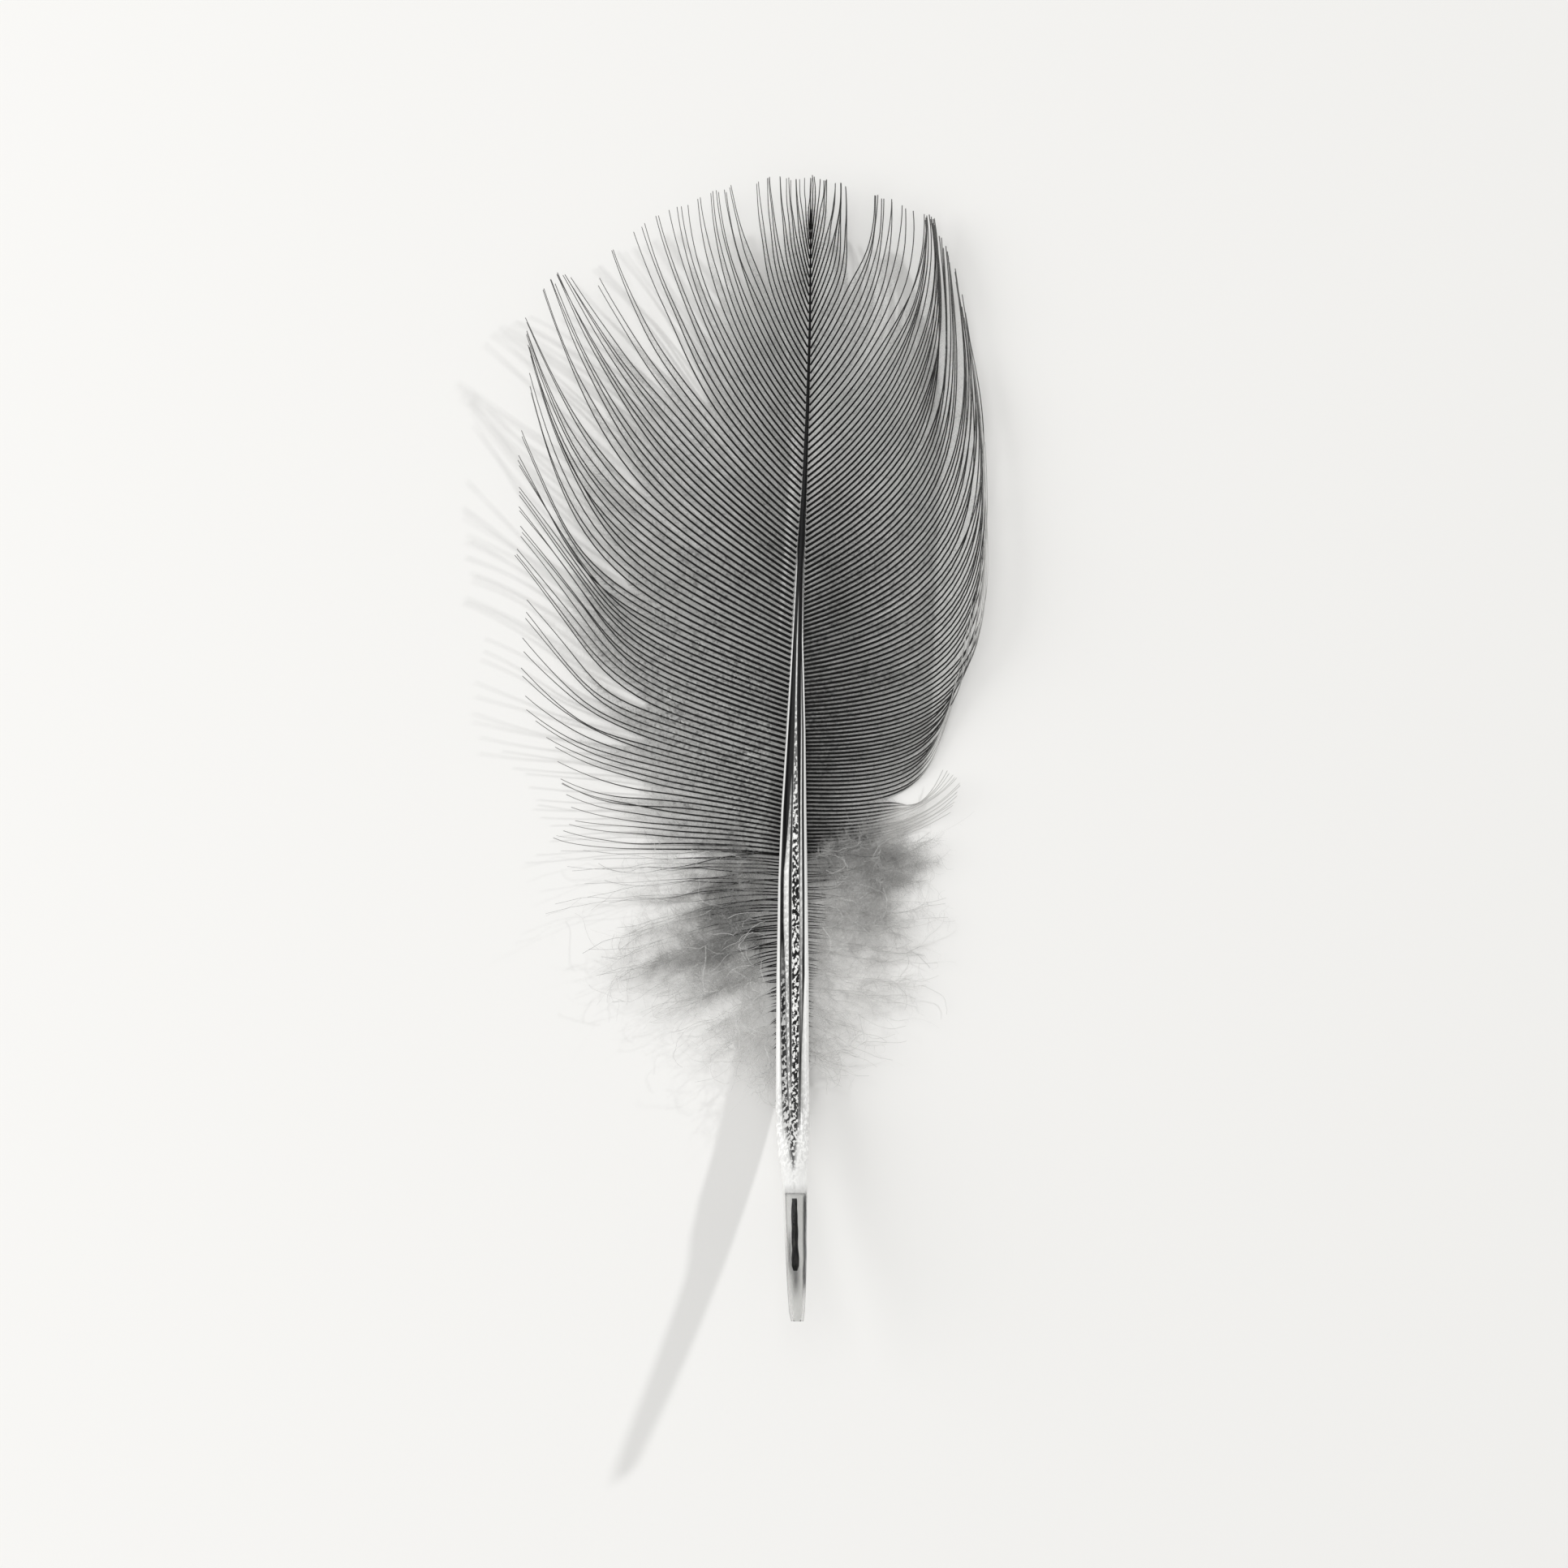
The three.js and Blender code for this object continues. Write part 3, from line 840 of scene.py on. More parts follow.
LEFT_LOCKS = (
    Lock("vane_left_tip", (
        Barb(58, (6.5, 65.0), 0), Barb(51.5, (4.0, 65.0), 0), Barb(47, (2.0, 65.0), 2),
        Barb(43.5, (0.0, 64.5), 3),
    ), bunch=0.7, bunch_from=0.35),
    Lock("vane_left_fan", (
        Barb(42.5, (-2.5, 64.0), 10), Barb(39, (-4.0, 63.5), 5), Barb(36, (-5.5, 63.0), 5),
        Barb(34, (-7.5, 62.0), 5), Barb(32, (-9.5, 61.5), 10), Barb(29.5, (-12.0, 60.5), 15),
        Barb(27.5, (-14.0, 59.0), 20),
    ), bunch=0.65, bunch_from=0.35),
    Lock("vane_left_upper", (
        Barb(26.5, (-15.5, 57.0), 15), Barb(25.5, (-18.0, 56.0), 25), Barb(24.5, (-17.5, 52.0), 30),
        Barb(23.5, (-21.5, 54.0), 35), Barb(20.5, (-22.5, 54.0), 25), Barb(18, (-23.5, 53.0), 20),
        Barb(16.5, (-24.0, 51.5), 15),
    ), bunch=0.75, bunch_from=0.4),
    Lock("vane_left_middle", (
        Barb(15.5, (-26.0, 49.0), 25), Barb(13, (-26.0, 46.5), 15), Barb(11, (-25.5, 44.5), 15),
        Barb(9, (-25.5, 39.0), 15),
    ), bunch=0.7),
    Lock("vane_left_lower", (
        Barb(8, (-26.5, 36.5), 20), Barb(5.5, (-27.0, 30.5), 35), Barb(3.5, (-27.0, 27.5), 40),
        Barb(2, (-26.5, 24.0), 40), Barb(0, (-27.5, 21.5), 40),
    ), bunch=0.4),
    Lock("vane_left_foot", (
        Barb(-2, (-26.0, 17.0), 40), Barb(-4, (-26.5, 11.5), 40), Barb(-6, (-26.5, 4.5), 50),
        Barb(-7.5, (-23.0, 0.5), 60), Barb(-8.5, (-22.0, -3.0), 65), Barb(-10, (-22.0, -4.5), 60),
        Barb(-11, (-20.0, -8.5), 80), Barb(-12.5, (-23.0, -10.0), 65),
    ), bunch=0.25),
)
RIGHT_LOCKS = (
    Lock("vane_right_tip", (
        Barb(58, (6.5, 65.0), 0), Barb(52, (9.0, 64.5), 0), Barb(45, (10.5, 64.0), -5),
    ), bunch=0.7, bunch_from=0.4),
    Lock("vane_right_fan", (
        Barb(44, (13.5, 63.0), 0), Barb(40, (15.0, 63.0), 0), Barb(38, (16.5, 62.0), 0),
        Barb(36, (18.5, 61.0), -5),
    ), bunch=0.6, bunch_from=0.4),
    Lock("vane_right_upper", (
        Barb(35, (19.5, 60.5), 0), Barb(32, (19.5, 60.5), -5), Barb(29, (20.0, 60.5), -10),
        Barb(25, (20.5, 60.0), -10), Barb(22, (20.5, 59.0), -5),
    ), bunch=0.45),
    Lock("vane_right_main", (
        Barb(21, (21.0, 58.5), -5), Barb(18.5, (22.0, 56.5), -5), Barb(16, (23.0, 54.0), -10),
        Barb(11, (24.5, 47.0), -10), Barb(6, (26.0, 35.0), -5), Barb(2, (26.5, 24.0), 0),
        Barb(-2, (24.5, 14.5), 10), Barb(-6, (22.5, 4.5), 20),
    ), bunch=0.15),
    Lock("vane_right_foot", (
        Barb(-7, (21.5, -2.5), 25), Barb(-8, (22.5, -3.0), 35), Barb(-10, (23.5, -4.5), 45),
        Barb(-12, (22.5, -7.5), 60),
    ), bunch=0.3),
)


@dataclass
class Vane:
    """The web on one side of the shaft: its barbs, and the film of barbules between them."""

    side: Side
    locks: tuple[Lock, ...]
    run: Run
    lie: Lie
    spacing: tuple[Span, ...]  # y, distance between two barbs' roots
    film: tuple[tuple[float, float, float, float], ...]  # y, film at the root, film further out, its end
    scatter: tuple[float, ...] = (0.03, 0.5, 0.15, 0.12, 0.22, 1.1, 0.4)  # of the numbers of Run.row
    root_slack: float = 0.05
    even_to: Span = (0.3, 0.72)
    evenness: float = 4.5
    steps: int = 26
    girths: tuple[Span, ...] = (  # y, half a barb's thickness at its root
        (62, 0.08), (48, 0.1), (36, 0.12), (20, 0.16), (5, 0.165), (-8, 0.155), (-14, 0.13))
    tip_girth: float = 0.04
    thinning: float = 1.35
    widest_film: float = 1.15
    clasp_end: float = 0.85
    fringe: float = 0.22
    barbule_angle: float = 48.0
    barbule_drop: float = 0.02
    bare_root: float = 0.0
    fades: tuple[tuple[float, float, float], ...] = ((0, 1.0, 0.0),)  # y, where fading starts, how much
    fade_run: float = 0.2
    fade_thinning: float = 0.5
    bunch_sizes: tuple[int, ...] = (1, 2, 2, 3, 4)
    pull_range: Span = (0.5, 1.25)
    most_pull: float = 0.9
    sway: float = 0.05
    ripple: float = 0.03
    looseness: float = 0.16
    root_tone: float = 0.01
    tip_tone: float = 0.15
    frayed_tone: float = 0.08
    film_fade: Span = (0.2, 0.14)  # how far the film thins before and past its end
    film_end_range: Span = (0.9, 1.08)
    film_power: float = 0.7
    patchiness: float = 0.3
    least_film: float = 0.22
    clasped_film: float = 0.25
    seed: int = 11
    rng: np.random.Generator = field(init=False)

    def __post_init__(self) -> None:
        """Starts the vane's own run of random draws."""
        self.rng = np.random.default_rng(self.seed)

    def pieces(self, mesher: FibreMesher) -> list[bpy.types.Object]:
        """Builds the vane.

        Args:
            mesher: what makes strands solid.

        Returns:
            One piece for each lock.
        """
        rows = [(lock, row) for lock in self.locks for row in self._rows(lock)]
        owners = [lock for lock, _ in rows]
        curves = self._evened([barb_curve(row, self.side, self.lie, self.steps) for _, row in rows])
        held = self._gather(owners, curves)
        fibres = [self._fibre(curves, held, number) for number in range(len(rows))]
        made = []
        for lock in self.locks:
            mine = [fibre for fibre, owner in zip(fibres, owners) if owner is lock]
            piece = mesher.piece(lock.name + "_barbs", mine)
            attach(piece, BODY)
            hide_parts(lock.name)
            LOG.info("%s: %d barbs, %d faces", piece.name, len(mine), len(piece.data.polygons))
            made.append(piece)
        return made

    def _rows(self, lock: Lock) -> Iterable[np.ndarray]:
        """The numbers of each barb of a lock, from its first root to its last."""
        last = lock.keys[-1].root
        roots = [lock.keys[0].root]
        while (nearer := roots[-1] - read(self.spacing, roots[-1], 1)[0]) >= last - self.root_slack:
            roots.append(nearer)
        for root in roots:
            yield self.run.row(lock.keys, root, self.lie) + self.rng.normal(size=7) * self.scatter

    def _evened(self, curves: list[np.ndarray]) -> list[np.ndarray]:
        """Spaces the barbs evenly near the shaft, so that the splits open only further out."""
        whole = np.array(curves)
        pad = int(self.evenness * 3)
        before = 2 * whole[0] - whole[pad:0:-1]
        after = 2 * whole[-1] - whole[-2:-pad - 2:-1]
        padded = np.concatenate([before, whole, after])
        kernel = np.exp(-0.5 * (np.arange(-pad, pad + 1) / self.evenness) ** 2)
        kernel /= kernel.sum()
        soft = sum(weight * padded[i:i + len(whole)] for i, weight in enumerate(kernel))
        share = np.linspace(0, 1, self.steps)
        keep = (1 - smooth(*self.even_to, share))[None, :, None]
        return list(whole + (soft - whole) * keep)

    def _gather(self, owners: list[Lock], curves: list[np.ndarray]) -> list[bool]:
        """Draws the free ends of neighbouring barbs together in small bunches.

        Args:
            owners: each barb's lock.
            curves: the barbs' places in plan, which are moved.

        Returns:
            For each barb, whether it holds on to the next one.
        """
        share = np.linspace(0, 1, self.steps)
        held = [False] * len(owners)
        first = 0
        while first < len(owners):
            size = int(self.rng.choice(self.bunch_sizes))
            lock = owners[first]
            bunch = [i for i in range(first, min(first + size, len(owners))) if owners[i] is lock]
            pull = lock.bunch * smooth(lock.bunch_from, 1.0, share) * self.rng.uniform(*self.pull_range)
            middle = np.mean([curves[i] for i in bunch], axis=0)
            for i in bunch:
                curves[i] += (middle - curves[i]) * np.clip(pull, 0, self.most_pull)[:, None]
                held[i] = i < bunch[-1]
            first = bunch[-1] + 1
        return held

    def _lifted(self, run: np.ndarray, loose: float) -> np.ndarray:
        """Puts a barb's places at their heights, with its free end a little off the web."""
        share = np.linspace(0, 1, len(run))
        across = np.gradient(run, axis=0)
        across = np.stack([-across[:, 1], across[:, 0]], 1) / np.linalg.norm(across, axis=1)[:, None]
        sway = wander(self.rng, share, 5) * self.sway * smooth(0.1, 0.9, share)
        run = run + across * sway[:, None]
        height = self.lie.web_height(run[:, 0], run[:, 1])
        height += loose * smooth(0.5, 1.0, share) + self.ripple * wander(self.rng, share, 6)
        return np.column_stack([run, height])

    def _faded(self, root: float) -> np.ndarray:
        """How far a barb has faded along it."""
        start, amount = read(self.fades, root, 1, 2)
        return amount * smooth(start, start + self.fade_run, np.linspace(0, 1, self.steps))

    def _girth(self, root: float) -> np.ndarray:
        """Half the thickness of a barb along it."""
        thick = read(self.girths, root, 1)[0]
        share = np.linspace(0, 1, self.steps)
        whole = self.tip_girth + (thick - self.tip_girth) * (1 - share) ** self.thinning
        return whole * (1 - self.fade_thinning * self._faded(root))

    def _tone(self, root: float) -> np.ndarray:
        """How grey a barb is along it: black on the web, and paler at its free end."""
        share = np.linspace(0, 1, self.steps)
        frayed = self.frayed_tone * smooth(0.8, 1.0, share) * self.rng.uniform(0.3, 1.0)
        whole = self.root_tone + self.tip_tone * share ** 2
        return whole + frayed + self._faded(root) * self.rng.uniform(0.7, 1.0)

    def _fibre(self, curves: list[np.ndarray], held: list[bool], number: int) -> Fibre:
        """One barb of the web, with the lay of its barbules to the barbs beside it."""
        run = curves[number]
        loose = float(self.rng.normal() * self.looseness)
        places = self._lifted(run, loose)
        share = np.linspace(0, 1, self.steps)
        inner, outer, end = read(self.film, run[0, 1], 1, 2, 3)
        end *= self.rng.uniform(*self.film_end_range)
        film = 1 - smooth(end - self.film_fade[0], end + self.film_fade[1], share)
        weight = film * (inner + (outer - inner) * np.clip(share / end, 0, 1) ** self.film_power)
        length = np.linalg.norm(run[-1] - run[0])
        if self.bare_root:
            weight = weight * smooth(self.bare_root * 0.5, self.bare_root * 1.3, share * length)
        lays = []
        clasp = 1 - smooth(self.clasp_end - 0.15, self.clasp_end, share)
        for other in (number - 1, number + 1):
            beside = curves[other] if 0 <= other < len(curves) else None
            whole = np.maximum(film, clasp) if held[min(number, other)] else film
            lays.append(self._lay(places, beside, whole, -1 if other < number else 1))
        weight = weight * np.clip(1 + self.patchiness * wander(self.rng, share, 12), 0.3, 1.8)
        least = self.least_film + self.clasped_film * clasp * (held[number] or held[number - 1])
        cover = np.maximum(weight, least * smooth(0.05, 0.2, share))
        return Fibre(places, self._girth(places[0, 1]), self._tone(places[0, 1]), lays[0], lays[1], cover)

    def _lay(self, places: np.ndarray, beside: np.ndarray | None, film: np.ndarray, turn: int) -> np.ndarray:
        """The way and length of the barbules on one side of a barb.

        Args:
            places: the barb's places.
            beside: the neighbour's places in plan, or None at the end of the vane.
            film: how closed the web is along the barb.
            turn: -1 toward the feather's tip and 1 toward its quill.

        Returns:
            One vector for each place.
        """
        run = places[:, :2]
        way = np.gradient(run, axis=0)
        way /= np.linalg.norm(way, axis=1)[:, None]
        out = np.stack([way[:, 1], -way[:, 0]], 1) * turn * self.side.value
        slope = np.radians(self.barbule_angle)
        free = out * np.sin(slope * 0.5) + way * np.cos(slope * 0.5)
        reach = free * self.fringe
        if beside is not None:
            gap = self._gap(run, out, beside)
            near = smooth(self.widest_film, self.widest_film * 0.75, gap) * film
            bridge = (out + way / np.tan(slope)) * (np.clip(gap, 0.15, self.widest_film) * 1.02)[:, None]
            reach = reach + (bridge - reach) * near[:, None]
        drop = self.rng.normal(size=len(run)) * self.barbule_drop
        return np.column_stack([reach, drop])

    @staticmethod
    def _gap(run: np.ndarray, out: np.ndarray, beside: np.ndarray) -> np.ndarray:
        """How far the neighbour is from each place, measured straight out from the barb.

        Args:
            run: the barb's places in plan.
            out: the way straight out from each of them.
            beside: the neighbour's places in plan.

        Returns:
            The distances, which are FAR_OFF where the neighbour isn't met.
        """
        start, step = beside[:-1], np.diff(beside, axis=0)
        to = start[None] - run[:, None]
        cross = out[:, None, 0] * step[None, :, 1] - out[:, None, 1] * step[None, :, 0]
        cross = np.where(np.abs(cross) < TINY, TINY, cross)
        ahead = (to[..., 0] * step[None, :, 1] - to[..., 1] * step[None, :, 0]) / cross
        along = (to[..., 0] * out[:, None, 1] - to[..., 1] * out[:, None, 0]) / cross
        hit = (ahead > 0.02) & (along > -0.05) & (along < 1.05)
        return np.where(hit, ahead, FAR_OFF).min(1)


# ---------------------------------------------------------------- the down


@dataclass(frozen=True)
class Cloud:
    """A patch where the down is thick: its middle and spread, its weight, and its tones."""

    x: float
    y: float
    spread_x: float
    spread_y: float
    weight: float
    tones: Span

    def weight_at(self, place: np.ndarray) -> float:
        """How much the patch adds at a place."""
        off_x, off_y = (place[0] - self.x) / self.spread_x, (place[1] - self.y) / self.spread_y
        return self.weight * np.exp(-0.5 * (off_x ** 2 + off_y ** 2))


@dataclass
class Down:
    """A tuft of down: soft barbs, and the long loose barbules that they carry."""

    name: str
    node: str
    side: Side
    lie: Lie
    run: Run
    keys: tuple[Barb, ...]
    clouds: tuple[Cloud, ...]
    comb: tuple[tuple[float, float, float], ...]  # y, how far a stem stays black, how pale it is beyond
    scatter: tuple[float, ...] = (0.03, 1.6, 0.5, 1.5, 1.0, 8.0, 0.8)  # of the numbers of Run.row
    shortening: float = 2.2
    stem_steps: int = 18
    stem_sway: float = 0.28
    stem_rise: float = 0.9
    spacing: float = 0.36
    comb_girth: float = 0.105
    comb_tone: float = 0.01
    stem_girth: float = 0.02
    plumes: int = 200
    plume_reach: float = 1.6
    plume_girth: float = 0.007
    barbules: int = 2200
    barbule_length: float = 2.2
    barbule_girth: float = 0.01
    barbule_swing: Span = (60, 28)  # degrees from the stem: the mean and its spread
    curls: int = 90
    curl_tone: float = 0.95
    curl_girth: float = 0.024
    strand_lengths: Span = (2.5, 6.0)
    seed: int = 31
    rng: np.random.Generator = field(init=False)

    def __post_init__(self) -> None:
        """Starts the tuft's own run of random draws."""
        self.rng = np.random.default_rng(self.seed)

    def piece(self, mesher: FibreMesher) -> bpy.types.Object:
        """Builds the tuft.

        Args:
            mesher: what makes strands solid.

        Returns:
            The tuft as one piece.
        """
        stems = self._stems()
        fibres = stems + self._plumes(stems) + self._barbules(stems) + self._curls(stems)
        piece = mesher.piece(self.name, fibres)
        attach(piece, BODY)
        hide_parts(self.node)
        LOG.info("%s: %d fibres, %d faces", piece.name, len(fibres), len(piece.data.polygons))
        return piece

    def _stems(self) -> list[Fibre]:
        """The soft barbs of the tuft."""
        made = []
        for root in np.arange(self.keys[0].root, self.keys[-1].root, -self.spacing):
            row = self.run.row(self.keys, root, self.lie) + self.rng.normal(size=7) * self.scatter
            row[3] -= self.side.value * abs(self.rng.normal()) * self.shortening
            run = barb_curve(row, self.side, self.lie, self.stem_steps)
            share = np.linspace(0, 1, len(run))
            sway = np.stack([wander(self.rng, share, 5), wander(self.rng, share, 7)], 1)
            run = run + sway * (self.stem_sway * share)[:, None]
            height = self.lie.web_height(run[:, 0], run[:, 1])
            height += self.stem_rise * np.abs(wander(self.rng, share, 4)) * smooth(0.1, 0.6, share)
            out = np.linalg.norm(run - run[0], axis=1)
            black, pale = (value * self.rng.uniform(0.75, 1.2) for value in read(self.comb, root, 1, 2))
            tone = self.comb_tone + (pale - self.comb_tone) * smooth(black * 0.7, black * 1.5, out)
            thick = 1 - smooth(black * 0.2, black * 1.3, out)
            girth = self.stem_girth + (self.comb_girth - self.stem_girth) * thick
            made.append(Fibre(np.column_stack([run, height]), girth, tone))
        return made

    def _density(self, place: np.ndarray) -> tuple[float, float, float]:
        """How thick the down is at a place, and the tones it has there."""
        weights = np.array([cloud.weight_at(place) for cloud in self.clouds])
        tones = (weights[:, None] * np.array([c.tones for c in self.clouds])).sum(0) / (weights.sum() + TINY)
        return float(weights.sum()), float(tones[0]), float(tones[1])

    def _start(self, stems: list[Fibre]) -> tuple[np.ndarray, float]:
        """A random place on a stem, and the heading of the stem there."""
        stem = stems[self.rng.integers(len(stems))].places
        at = self.rng.uniform(0.02, 1.0) * (len(stem) - 1.001)
        cell, share = int(at), at % 1
        step = stem[cell + 1] - stem[cell]
        return stem[cell] + step * share, float(np.arctan2(step[1], step[0]))

    def _strand(self, start: np.ndarray, heading: float, length: float, steps: int, bend: float,
                rise: float) -> np.ndarray:
        """A wavy strand.

        Args:
            start: its first place.
            heading: the way that it leaves, in radians.
            length: its length.
            steps: how many straight runs it has.
            bend: how strongly it turns at each of them.
            rise: how strongly it climbs or falls.

        Returns:
            Its places.
        """
        wobble = np.cumsum(self.rng.normal(size=steps) * bend)
        turn = heading + wobble + self.rng.normal() * bend * np.arange(steps)
        climb = self.rng.normal() * rise + self.rng.normal(size=steps) * rise * 0.5
        move = np.column_stack([np.cos(turn), np.sin(turn), climb]) * (length / steps)
        places = np.vstack([start, start + np.cumsum(move, axis=0)])
        places[:, 2] = np.maximum(places[:, 2], self.lie.lift(places[:, 1]) * 0.75 + 0.06)
        return places

    def _plumes(self, stems: list[Fibre]) -> list[Fibre]:
        """Hair-thin strands that carry two rows of barbules, thick where the clouds are."""
        made: list[Fibre] = []
        while len(made) < self.plumes:
            start, heading = self._start(stems)
            thick, low, high = self._density(start)
            if self.rng.uniform() > thick:
                continue
            heading += self.rng.normal() * 0.5
            places = self._strand(start, heading, self.rng.uniform(*self.strand_lengths), 8, 0.14, 0.12)
            way = np.gradient(places, axis=0)
            way /= np.linalg.norm(way, axis=1)[:, None]
            beside = np.column_stack([-way[:, 1], way[:, 0], np.zeros(len(way))])
            reach = self.plume_reach * self.rng.uniform(0.6, 1.2)
            tone = np.full(len(places), self.rng.uniform(low, high))
            film = np.array([min(self._density(place)[0], 1.2) for place in places])
            lays = [(way * 0.7 + turn * beside) * reach * 0.8 for turn in (1, -1)]
            made.append(Fibre(places, np.full(len(places), self.plume_girth), tone, *lays, film))
        return made

    def _barbules(self, stems: list[Fibre]) -> list[Fibre]:
        """The loose barbules, thick where the clouds are."""
        made = []
        while len(made) < self.barbules:
            start, heading = self._start(stems)
            thick, low, high = self._density(start)
            if self.rng.uniform() > thick:
                continue
            heading += np.radians(self.rng.normal(*self.barbule_swing)) * self.rng.choice((-1, 1))
            length = self.barbule_length * self.rng.uniform(0.5, 1.3)
            places = self._strand(start, heading, length, 4, 0.36, 0.3)
            tone = np.full(len(places), self.rng.uniform(low, high))
            made.append(Fibre(places, self.barbule_girth * np.linspace(1.0, 0.5, len(places)), tone))
        return made

    def _curls(self, stems: list[Fibre]) -> list[Fibre]:
        """A few long pale curls that lie over the tuft."""
        made = []
        for _ in range(self.curls):
            start, heading = self._start(stems)
            start = start + np.array([0, 0, 0.5])
            heading += self.rng.normal() * 0.5
            places = self._strand(start, heading, self.rng.uniform(*self.strand_lengths), 9, 0.2, 0.12)
            tone = np.full(len(places), self.curl_tone * self.rng.uniform(0.8, 1.0))
            made.append(Fibre(places, np.full(len(places), self.curl_girth), tone))
        return made


# ---------------------------------------------------------------- the shaft


@dataclass(frozen=True)
class Stripe:
    """A pale line on the shaft's upper side.

    Each station is y, where the line starts and ends across the shaft from -1 to 1, how pale it
    is, and how broken it is.
    """

    stations: tuple[tuple[float, float, float, float, float], ...]
    relief: float = 0.0

    def at(self, y: np.ndarray, across: np.ndarray) -> tuple[np.ndarray, np.ndarray]:
        """Reads the stripe.

        Args:
            y: places along the shaft.
            across: places across it.

        Returns:
            How pale each place is, and how broken.
        """
        start, end, pale, broken = read(self.stations, y, 1, 2, 3, 4)
        middle, half = (start + end) / 2, np.maximum((end - start) / 2, 0.02)
        inside = 1 - smooth(0.8, 1.15, np.abs(across - middle) / half)
        return inside * pale, inside * broken


SHAFT_STRIPES = (
    Stripe(((23, -1.1, -0.9, 0.0, 0), (20.5, -1.1, -0.65, 0.8, 0), (12, -1.1, -0.76, 1, 0),
            (2, -1.1, -0.84, 1, 0), (-15, -1.1, -0.86, 1, 0), (-26, -1.1, -0.80, 1, 0),
            (-36, -1.1, -0.70, 1, 0.05), (-46, -1.1, -0.56, 0.95, 0.15))),
    Stripe(((23, 0.8, 1.1, 0, 0), (18, 0.75, 1.1, 0.6, 0), (12, 0.74, 1.1, 0.95, 0), (2, 0.82, 1.1, 1, 0),
            (-16, 0.8, 1.1, 1, 0), (-26, 0.74, 1.1, 0.95, 0.0), (-35, 0.55, 1.1, 0.85, 0.1),
            (-46, 0.42, 1.1, 0.8, 0.3))),
    Stripe(((10, 0.54, 0.62, 0, 0), (2, 0.52, 0.62, 0.85, 0), (-7, 0.52, 0.64, 1.0, 0),
            (-16, 0.5, 0.64, 1.0, 0.1), (-26, 0.5, 0.6, 0.8, 0.4), (-35, 0.5, 0.56, 0, 0)), 0.08),
    Stripe(((18, -0.15, 0.0, 0, 0), (12, -0.16, 0.02, 0.8, 0.15), (6, -0.16, 0.04, 0.75, 0.25),
            (2, -0.14, 0.10, 0.8, 0.7), (-7, -0.08, 0.34, 0.9, 0.97), (-16, -0.08, 0.46, 0.95, 1.0),
            (-26, -0.06, 0.44, 0.9, 1.0), (-35, -0.04, 0.40, 0.85, 1.0), (-46, -0.2, 0.3, 0.7, 0.95)), 0.1),
    Stripe(((-3, -0.32, -0.22, 0, 0), (-7, -0.36, -0.2, 0.6, 0.6), (-14, -0.62, -0.28, 1.0, 0.1),
            (-20, -0.6, -0.26, 1.0, 0.25), (-26, -0.44, -0.24, 0.95, 0.5), (-35, -0.32, -0.17, 0.85, 0.6),
            (-44, -0.16, -0.04, 0.75, 0.7)), 0.09),
    Stripe(((-22, -0.75, -0.48, 0, 0), (-27, -0.74, -0.46, 0.6, 1.0), (-40, -0.64, -0.3, 0.65, 0.97),
            (-46, -0.5, 0.2, 0.6, 0.9)), 0.05),
)


